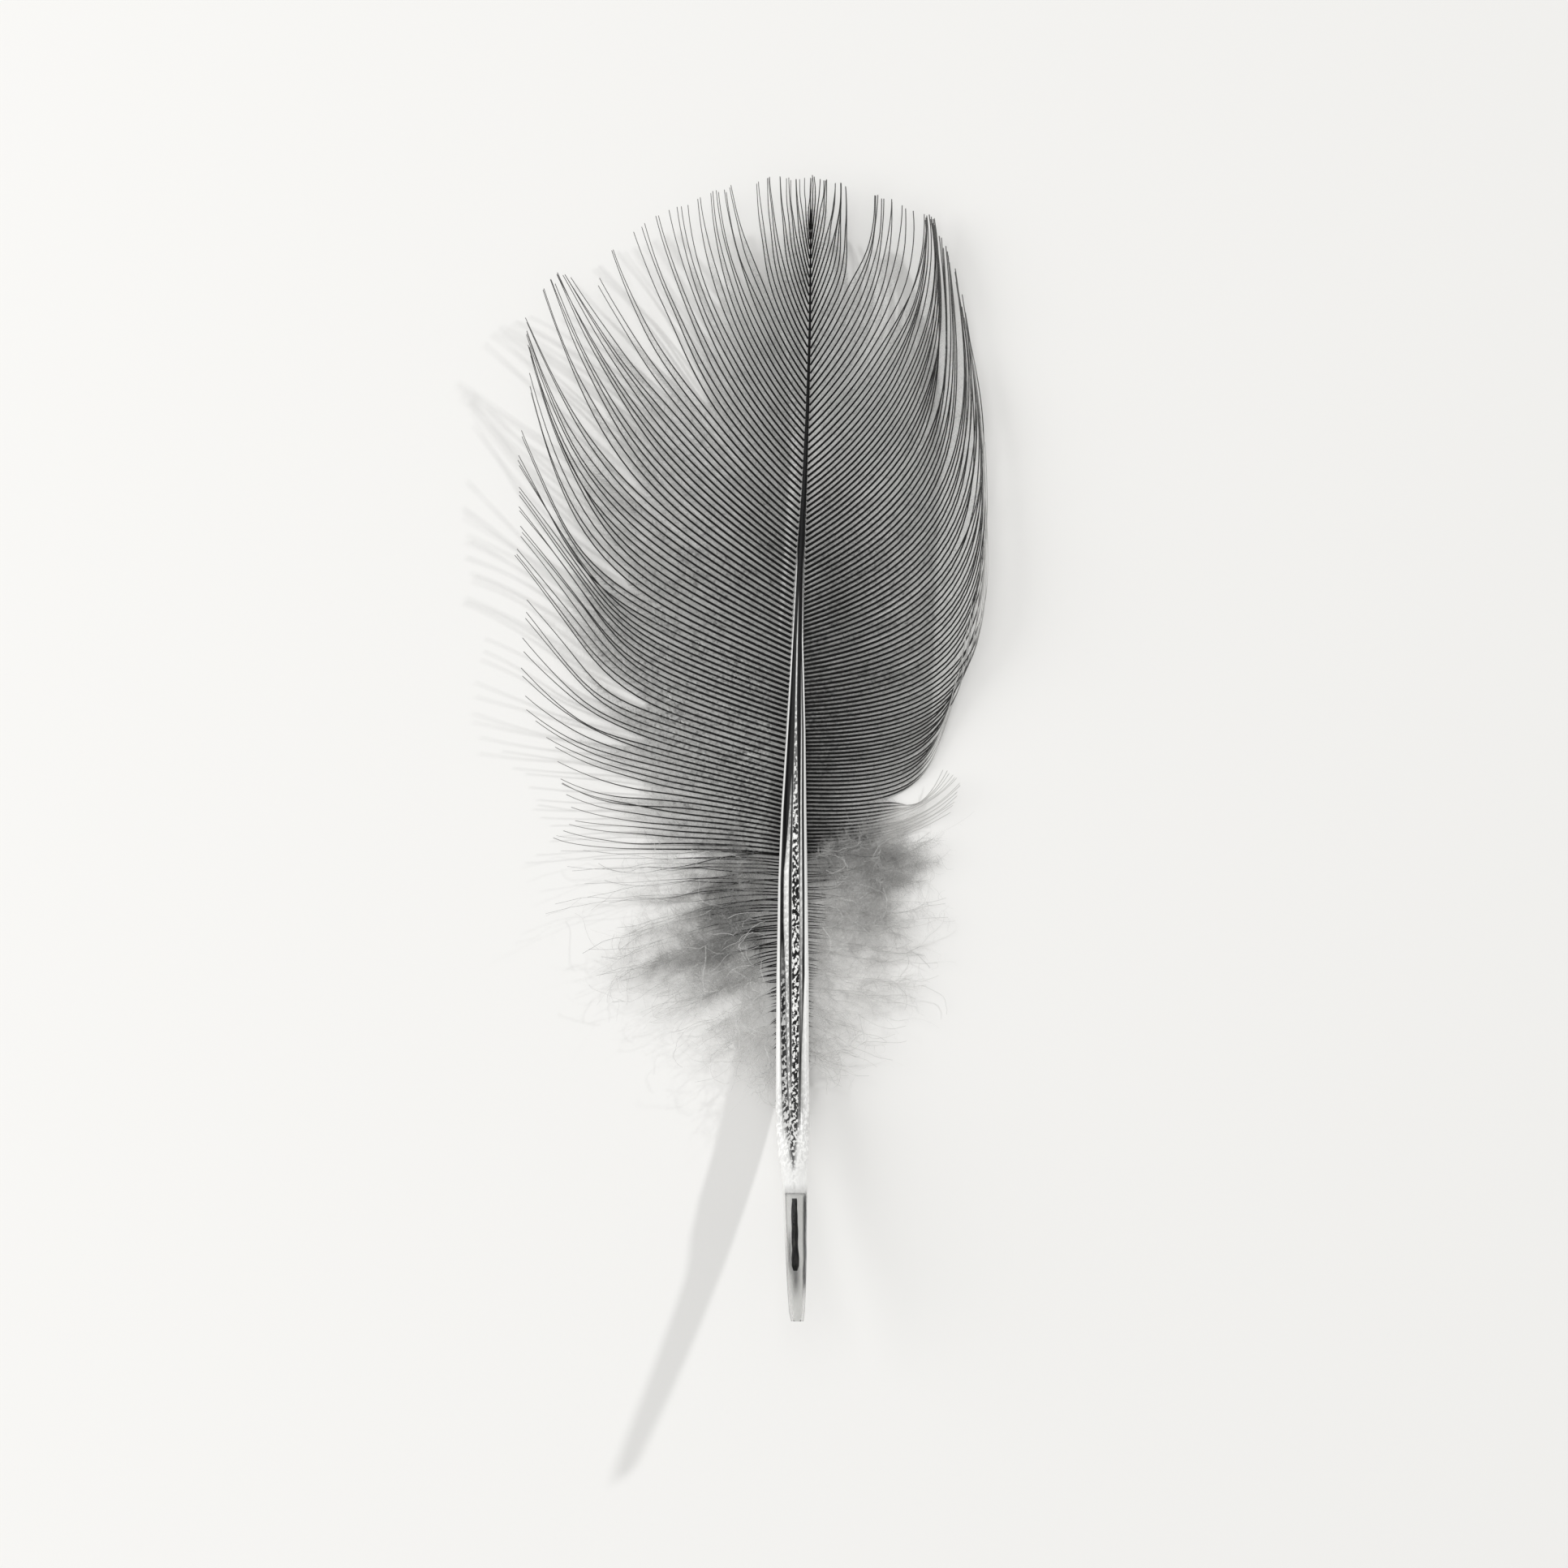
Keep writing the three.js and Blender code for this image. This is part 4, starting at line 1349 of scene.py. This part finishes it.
@dataclass(frozen=True)
class HornShades:
    """Where the horn changes along the shaft: each span is y where a change starts and is whole."""

    under: Span = (-30, -52)
    quill: Span = (-46.0, -50.5)
    collar: Span = (-47.2, -48.6)
    point: Span = (-49.5, -38.0)
    haze: Span = (-37.0, -46.0)
    dust: Span = (-36.0, -47.0)
    tearing: Span = (-36.0, -46.0)
    # painted shade along the quill's right edge: y where it comes in, and where it goes out
    painted_shade_rim: tuple[Span, Span] = ((-49.5, -52), (-63.5, -59))
    core: tuple[Span, Span] = ((-54, -57), (-61, -58))
    tail: tuple[Span, Span] = ((-57.5, -59.5), (-63.5, -60.5))
    clear: Span = (-49.6, -51.4)
    # painted highlight on the quill's left edge: y where it starts and where it is whole
    painted_highlight: Span = (-60, -54)
    # where across the shaft the painted shade on the quill's right edge starts and is whole
    rim_edge: Span = (0.68, 0.86)  # across the shaft
    core_line: Span = (-0.62, 0.2)  # middle and spread across the shaft
    tail_line: Span = (-0.05, 0.45)
    quill_pale: float = 0.85
    point_width: float = 0.62
    haze_pale: float = 0.9
    dust_pale: float = 0.3
    torn: float = 0.7

    def marks(self, y: float, across: np.ndarray, top: np.ndarray, pale: np.ndarray,
              broken: np.ndarray) -> np.ndarray:
        """Marks a ring of the shaft.

        Args:
            y: where the ring is.
            across: its places across the shaft.
            top: which of them are on the upper side.
            pale: how pale the stripes make them.
            broken: how broken the stripes make them.

        Returns:
            For each place, how pale, how broken, how clear (less so where a highlight is painted) and how
            dark with smears and painted shade it is.
        """
        under = smooth(*self.under, y) * 0.85
        quill, collar = smooth(*self.quill, y), smooth(*self.collar, y)
        point = self.point_width * smooth(*self.point, y)
        haze = smooth(*self.haze, y) * smooth(point - 0.12, point + 0.18, np.abs(across + 0.05))
        pale = np.maximum(pale, np.maximum(self.dust_pale * smooth(*self.dust, y), self.haze_pale * haze))
        broken = np.maximum(broken, self.torn * smooth(*self.tearing, y))
        broken = broken * (1 - 0.75 * haze) * (1 - 0.7 * collar)
        pale = np.where(top, pale + np.maximum(quill, collar) * (self.quill_pale - pale), 0.12 + 0.7 * under)
        # painted shade: a dark line along the clear quill's right edge, the shade that the tube shows there
        painted_shade_rim = smooth(*self.rim_edge, across) * self._between(self.painted_shade_rim, y)
        core = self._streak(self.core_line, across) * self._between(self.core, y)
        tail = self._streak(self.tail_line, across) * self._between(self.tail, y)
        # real smears of pulp inside the quill, and the painted shade of its right edge
        smear_and_shade = np.clip(0.12 + 1.2 * painted_shade_rim + 0.6 * core + 0.6 * tail, 0, 1)
        # painted highlight: the clear quill's left edge is made partly opaque, so that it shows as pale horn
        painted_highlight = smooth(-0.8, -0.93, across) * smooth(*self.painted_highlight, y) * top
        clear = smooth(*self.clear, y) * (1 - 0.75 * painted_highlight)
        return np.column_stack([pale, broken, clear * np.ones(len(across)), smear_and_shade])

    @staticmethod
    def _between(spans: tuple[Span, Span], y: float) -> Any:
        """1 between a change that comes in and one that goes out, and 0 beyond both."""
        return smooth(*spans[0], y) * smooth(*spans[1], y)

    @staticmethod
    def _streak(line: Span, across: np.ndarray) -> np.ndarray:
        """A soft streak along the shaft, from its middle and spread."""
        return np.exp(-((across - line[0]) / line[1]) ** 2)


@dataclass
class Shaft:
    """The grooved rachis and the hollow quill, as one closed shell."""

    lie: Lie
    finish: HornFinish
    stripes: tuple[Stripe, ...] = SHAFT_STRIPES
    top: float = 61.5
    mouth: float = -65.1
    hollow_top: float = -50.8
    wall: float = 0.3
    groove_depth: float = 0.544  # in half heights of the shaft
    groove_from: float = 30.0
    groove_to: float = -46.5
    groove_wall: Span = (0.55, 0.86)  # where the groove's floor ends and its rim begins, across the shaft
    blend: float = 6.0
    roundness: Span = (2.4, 2.2)  # above and below, where 2 is a circle
    step: float = 0.22
    upper_places: int = 58
    lower_places: int = 14
    shades: HornShades = HornShades()

    def piece(self) -> bpy.types.Object:
        """Builds the shaft.

        Returns:
            The piece, which stands for its CAD node.
        """
        stations = np.arange(self.top, self.mouth, -self.step)
        stations = np.append(stations, self.mouth)
        rings, marks = zip(*(self._ring(y) for y in stations))
        inner = np.linspace(self.mouth, self.hollow_top, 30)
        hollow, hollow_marks = zip(*(self._hollow(y) for y in inner))
        mesh = lofted(np.array(rings + hollow), "shaft_horn")
        marks = np.concatenate([np.concatenate(marks + hollow_marks), [marks[0][0], hollow_marks[-1][0]]])
        for column, name in enumerate(("pale", "mottle", "clear", "smear_and_shade")):
            made = mesh.attributes.new(name, "FLOAT", "POINT")
            made.data.foreach_set("value", marks[:, column].astype(np.float32))
        mesh.materials.append(self.finish.material())
        piece = in_scene("shaft_horn", mesh)
        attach(piece, BODY)
        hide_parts("shaft")
        LOG.info("%s: %d faces", piece.name, len(mesh.polygons))
        return piece

    def _section(self) -> tuple[np.ndarray, np.ndarray]:
        """The places around a ring: across from -1 to 1, and up from -1 to 1, on a round section."""
        upper = np.linspace(1, -1, self.upper_places)
        lower = np.linspace(-1, 1, self.lower_places + 2)[1:-1]
        lower = np.sin(lower * np.pi / 2)
        high = np.sqrt(1 - np.abs(upper) ** self.roundness[0])
        low = np.sqrt(1 - np.abs(lower) ** self.roundness[1])
        return np.concatenate([upper, lower]), np.concatenate([high, -low])

    def _placed(self, y: float, across: np.ndarray, up: np.ndarray, inset: float = 0.0) -> np.ndarray:
        """Puts a ring at y.

        Args:
            y: where it goes along the shaft.
            across: its places across, from -1 to 1.
            up: its places up, from -1 to 1.
            inset: how far it lies inside the shaft's outside.

        Returns:
            Its places in millimetres.
        """
        half = float(self.lie.shaft_width(y)) / 2
        height = half * self.lie.height_ratio
        return np.column_stack([float(self.lie.shaft_x(y)) + across * (half - inset), np.full(len(across), y),
                                float(self.lie.lift(y)) + height + up * (height - inset)])

    def _ring(self, y: float) -> tuple[np.ndarray, np.ndarray]:
        """One ring of the outside at y, and its marks."""
        across, up = self._section()
        top = up > -0.001
        groove = smooth(0, self.blend, self.groove_from - y) * smooth(0, self.blend, y - self.groove_to)
        up = up - top * self.groove_depth * groove * (1 - smooth(*self.groove_wall, np.abs(across)))
        pale, broken = np.zeros(len(across)), np.zeros(len(across))
        knots = 1 + 0.8 * np.sin(y * 9.1) * np.sin(y * 3.7 + across * 5)
        for stripe in self.stripes:
            light, torn = stripe.at(np.full(len(across), y), across)
            pale, broken = np.maximum(pale, light), np.maximum(broken, torn)
            up = up + top * light * stripe.relief * groove * knots
        return self._placed(y, across, up), self.shades.marks(y, across, top, pale, broken)

    def _hollow(self, y: float) -> tuple[np.ndarray, np.ndarray]:
        """One ring of the hollow's wall at y, and its marks."""
        across, up = self._section()
        marks = np.tile([0.8, 0.0, 1.0, 0.0], (len(across), 1))
        return self._placed(y, across, up, self.wall), marks


def lofted(rings: np.ndarray, name: str) -> bpy.types.Mesh:
    """A closed mesh through rings of equal length."""
    count, around = rings.shape[:2]
    places = np.concatenate([rings.reshape(-1, 3), rings[[0, -1]].mean(1)]) * MM
    here = (np.arange(count - 1)[:, None] * around + np.arange(around)[None]).ravel()
    after = (np.arange(count - 1)[:, None] * around + np.roll(np.arange(around), -1)[None]).ravel()
    faces = np.stack([here, after, after + around, here + around], 1).tolist()
    ring = list(range(around))
    turned = ring[1:] + ring[:1]
    last = (count - 1) * around
    faces += [[b, a, count * around] for a, b in zip(ring, turned)]
    faces += [[last + a, last + b, count * around + 1] for a, b in zip(ring, turned)]
    mesh = bpy.data.meshes.new(name)
    mesh.from_pydata(places.tolist(), [], faces)
    outward(mesh)
    mesh.shade_smooth()
    return mesh


def outward(mesh: bpy.types.Mesh) -> None:
    """Turns a closed mesh's faces out, if they point in."""
    mesh.calc_loop_triangles()
    corners = np.array([v.co for v in mesh.vertices])[np.array([t.vertices for t in mesh.loop_triangles])]
    volume = np.einsum("ij,ij->i", corners[:, 0], np.cross(corners[:, 1], corners[:, 2])).sum()
    if volume < 0:
        mesh.flip_normals()


@dataclass
class DriedPulp:
    """The dried core inside the quill."""

    lie: Lie
    finish: PulpFinish
    line: tuple[Span, ...] = (  # y, radius
        (-51.4, 0.30), (-52.2, 0.38), (-53.5, 0.42), (-56.0, 0.38), (-57.2, 0.42),
        (-58.2, 0.52), (-59.0, 0.48), (-59.5, 0.22),
    )
    folds: int = 4
    fold_depth: float = 0.05
    flatness: float = 0.8
    off_middle: float = -0.1
    stations: int = 70
    sides: int = 28
    seed: int = 23

    def piece(self) -> bpy.types.Object:
        """Builds the core.

        Returns:
            The piece, which stands for its CAD node.
        """
        rng = np.random.default_rng(self.seed)
        turn = np.linspace(0, 2 * np.pi, self.sides, endpoint=False)
        folds = rng.uniform(0, 2 * np.pi, self.folds)
        rings = []
        for y in np.linspace(self.line[0][0], self.line[-1][0], self.stations):
            crease = sum(self.fold_depth * np.sin((k + 2) * turn + folds[k] + y * (1.3 + 0.7 * k))
                         for k in range(self.folds))
            reach = read(self.line, y, 1)[0] * (0.88 + crease)
            middle = float(self.lie.lift(y)) + float(self.lie.shaft_width(y)) / 2 * self.lie.height_ratio
            rings.append(np.column_stack([
                float(self.lie.shaft_x(y)) + self.off_middle + reach * np.cos(turn),
                np.full(self.sides, y), middle + reach * self.flatness * np.sin(turn)]))
        mesh = lofted(np.array(rings), "dried_pulp_core")
        mesh.materials.append(self.finish.material())
        piece = in_scene("dried_pulp_core", mesh)
        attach(piece, BODY)
        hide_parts("dried_pulp")
        LOG.info("%s: %d faces", piece.name, len(mesh.polygons))
        return piece


# ---------------------------------------------------------------- the studio


@dataclass(frozen=True)
class Lamp:
    """A distant soft lamp."""

    name: str
    toward: tuple[float, float, float]
    strength: float
    spread: float

    def light(self) -> None:
        """Puts the lamp in the scene."""
        data = bpy.data.lights.new(self.name, "SUN")
        data.energy = self.strength
        data.angle = np.radians(self.spread)
        lamp = in_scene(self.name, data)
        lamp.rotation_euler = Vector(self.toward).to_track_quat("Z", "Y").to_euler()


@dataclass(frozen=True)
class Panel:
    """A square soft light near the feather, which fades across the floor."""

    name: str
    place: tuple[float, float, float]  # metres
    size: float
    power: float

    def light(self) -> None:
        """Puts the panel in the scene, turned to the origin."""
        data = bpy.data.lights.new(self.name, "AREA")
        data.energy = self.power
        data.size = self.size
        panel = in_scene(self.name, data)
        panel.location = self.place
        panel.rotation_euler = Vector(self.place).to_track_quat("Z", "Y").to_euler()


@dataclass(frozen=True)
class Studio:
    """A pale floor, soft lamps and a camera that looks straight down."""

    floor_size: float = 4.0
    floor_drop: float = 0.00002
    lamps: tuple[Lamp | Panel, ...] = (
        Lamp("high right lamp", (1.70, 1.54, 1.0), 1.6, 2.5),
        Panel("left panel", (-0.95, 0.16, 0.46), 0.8, 6.8),
        Lamp("top lamp", (-0.2, 0.3, 1.0), 0.6, 40.0),
    )
    sky: float = 0.45
    sky_colour: Colour = (1.0, 0.995, 0.98)
    aim: tuple[float, float] = (3.34, -4.18)
    view_width: float = 179.5
    lens: float = 250.0
    sensor: float = 36.0

    def build(self) -> None:
        """Puts the floor, the lamps, the sky and the camera in the scene."""
        self._floor()
        for lamp in self.lamps:
            lamp.light()
        world = bpy.data.worlds.new("pale room")
        bpy.context.scene.world = world
        world.use_nodes = True
        backdrop = world.node_tree.nodes["Background"]
        backdrop.inputs["Color"].default_value = rgba(self.sky_colour)
        backdrop.inputs["Strength"].default_value = self.sky
        self._camera()
        bpy.context.scene.view_settings.view_transform = "Standard"

    def _floor(self) -> None:
        """The surface that the feather lies on."""
        half = self.floor_size / 2
        mesh = bpy.data.meshes.new("floor")
        corners = [(-half, -half), (half, -half), (half, half), (-half, half)]
        mesh.from_pydata([(x, y, -self.floor_drop) for x, y in corners], [], [(0, 1, 2, 3)])
        mesh.materials.append(FloorFinish().material())
        floor = in_scene("floor", mesh)

    def _camera(self) -> None:
        """A long lens, straight above the feather."""
        data = bpy.data.cameras.new("camera")
        data.lens = self.lens
        data.sensor_width = self.sensor
        data.clip_end = 20.0
        camera = in_scene("camera", data)
        away = self.view_width * MM * self.lens / self.sensor
        camera.location = (self.aim[0] * MM, self.aim[1] * MM, away)
        bpy.context.scene.camera = camera


def left_vane(lie: Lie) -> Vane:
    """The wide loose web on the left, with its open locks."""
    return Vane(Side.LEFT, LEFT_LOCKS, LEFT_RUN, lie, (
        (60, 1.0), (45, 0.93), (34, 0.80), (30, 0.76), (25, 0.68), (20, 0.61), (15, 0.565), (7, 0.54),
        (0, 0.52), (-8, 0.51), (-14, 0.44),
    ), (
        (60, 1.2, 0.5, 0.5), (48, 1.0, 0.3, 0.5), (36, 0.7, 0.25, 0.52), (27, 0.65, 0.25, 0.52),
        (18, 0.9, 0.4, 0.64), (8, 1.05, 0.8, 0.73), (0, 1.1, 0.9, 0.76), (-6, 1.1, 0.75, 0.66),
        (-13, 1.0, 0.5, 0.5),
    ), bare_root=0.8, fades=((-3, 1.0, 0.0), (-8, 0.7, 0.15), (-12.4, 0.5, 0.3)), thinning=1.55, seed=11)


def right_vane(lie: Lie) -> Vane:
    """The close web on the right, which fades into the down at its foot."""
    return Vane(Side.RIGHT, RIGHT_LOCKS, RIGHT_RUN, lie, (
        (60, 1.0), (45, 0.93), (36, 0.75), (30, 0.71), (25, 0.64), (20, 0.56), (15, 0.50), (7, 0.465),
        (0, 0.43), (-8, 0.42), (-14, 0.42),
    ), (
        (60, 1.2, 0.5, 0.6), (48, 0.9, 0.25, 0.5), (36, 0.55, 0.2, 0.55), (27, 0.5, 0.3, 0.74),
        (18, 0.85, 0.25, 0.88), (8, 1.0, 0.1, 0.92), (0, 0.95, 0.02, 0.9), (-6, 0.8, 0.02, 0.8),
        (-13, 0.7, 0.2, 0.5),
    ), fades=(
        (16, 1.0, 0.0), (9, 0.72, 0.35), (3, 0.54, 0.8), (-5.9, 0.5, 0.9), (-7, 0.4, 0.85), (-12, 0.28, 0.85),
    ), tip_girth=0.055, thinning=2.1, seed=12)


def left_down(lie: Lie) -> Down:
    """The larger tuft, dark by the shaft and pale at its ends."""
    return Down("down_left_fluff", "down_left", Side.LEFT, lie, LEFT_RUN, (
        Barb(-12.0, (-22.0, -10.4), 66), Barb(-14.5, (-20.5, -15.0), 86), Barb(-17.5, (-19.5, -21.0), 102),
        Barb(-20.5, (-18.0, -26.0), 110), Barb(-26.0, (-12.0, -31.0), 110), Barb(-33.0, (-3.0, -36.5), 112),
        Barb(-38.0, (0.5, -40.0), 120),
    ), (
        Cloud(-0.5, -15.5, 3.5, 5.0, 0.75, (0.22, 0.55)),
        Cloud(-2.5, -20.0, 3.5, 3.5, 0.7, (0.25, 0.6)),
        Cloud(-8.0, -24.0, 4.5, 3.0, 0.5, (0.4, 0.75)),
        Cloud(-9.0, -16.0, 3.5, 5.0, 0.2, (0.45, 0.8)),
        Cloud(-1.0, -30.0, 3.5, 4.0, 0.3, (0.5, 0.85)),
    ), (
        (-12.0, 14.0, 0.3), (-16.5, 11.0, 0.4), (-20.0, 7.5, 0.5), (-23.0, 4.0, 0.6), (-25.5, 2.0, 0.75),
        (-28.0, 1.0, 0.85), (-36.0, 0.2, 0.9),
    ), seed=31)


def right_down(lie: Lie) -> Down:
    """The smaller, paler tuft."""
    return Down("down_right_fluff", "down_right", Side.RIGHT, lie, RIGHT_RUN, (
        Barb(-11.6, (20.5, -9.5), 66), Barb(-18.0, (20.0, -18.0), 78), Barb(-25.0, (19.5, -27.0), 88),
        Barb(-31.0, (16.0, -34.0), 96), Barb(-35.5, (10.0, -37.5), 100),
    ), (
        Cloud(10.5, -12.0, 6.0, 3.6, 0.8, (0.35, 0.75)),
        Cloud(12.0, -19.0, 5.5, 4.5, 0.4, (0.5, 0.88)),
        Cloud(15.0, -28.0, 5.0, 5.0, 0.15, (0.7, 1.0)),
        Cloud(7.1, -22.0, 1.2, 7.0, 0.35, (0.35, 0.8)),
    ), (
        (-11.5, 8.0, 0.6), (-14.0, 5.0, 0.68), (-17.0, 2.8, 0.75), (-22.0, 1.4, 0.82), (-27.0, 0.7, 0.88),
        (-31.0, 0.3, 0.9), (-36.0, 0.1, 0.95),
    ), comb_girth=0.08, comb_tone=0.09, seed=32)


def main() -> None:
    """Builds the feather and its studio."""
    logging.basicConfig(level=logging.INFO, format="%(name)s %(message)s")
    Studio().build()
    lie = Lie()
    tree = FibreTree().group()
    Shaft(lie, HornFinish()).piece()
    DriedPulp(lie, PulpFinish()).piece()
    web = FibreMesher(tree, BarbFinish(), BarbuleFinish())
    left_vane(lie).pieces(web)
    right_vane(lie).pieces(web)
    soft = FibreMesher(tree, DownFinish(), DownFinish(), sides=3, step=0.1, width=0.013, stray=0.55)
    left_down(lie).piece(soft)
    right_down(lie).piece(soft)


if __name__ == "__main__":
    main()
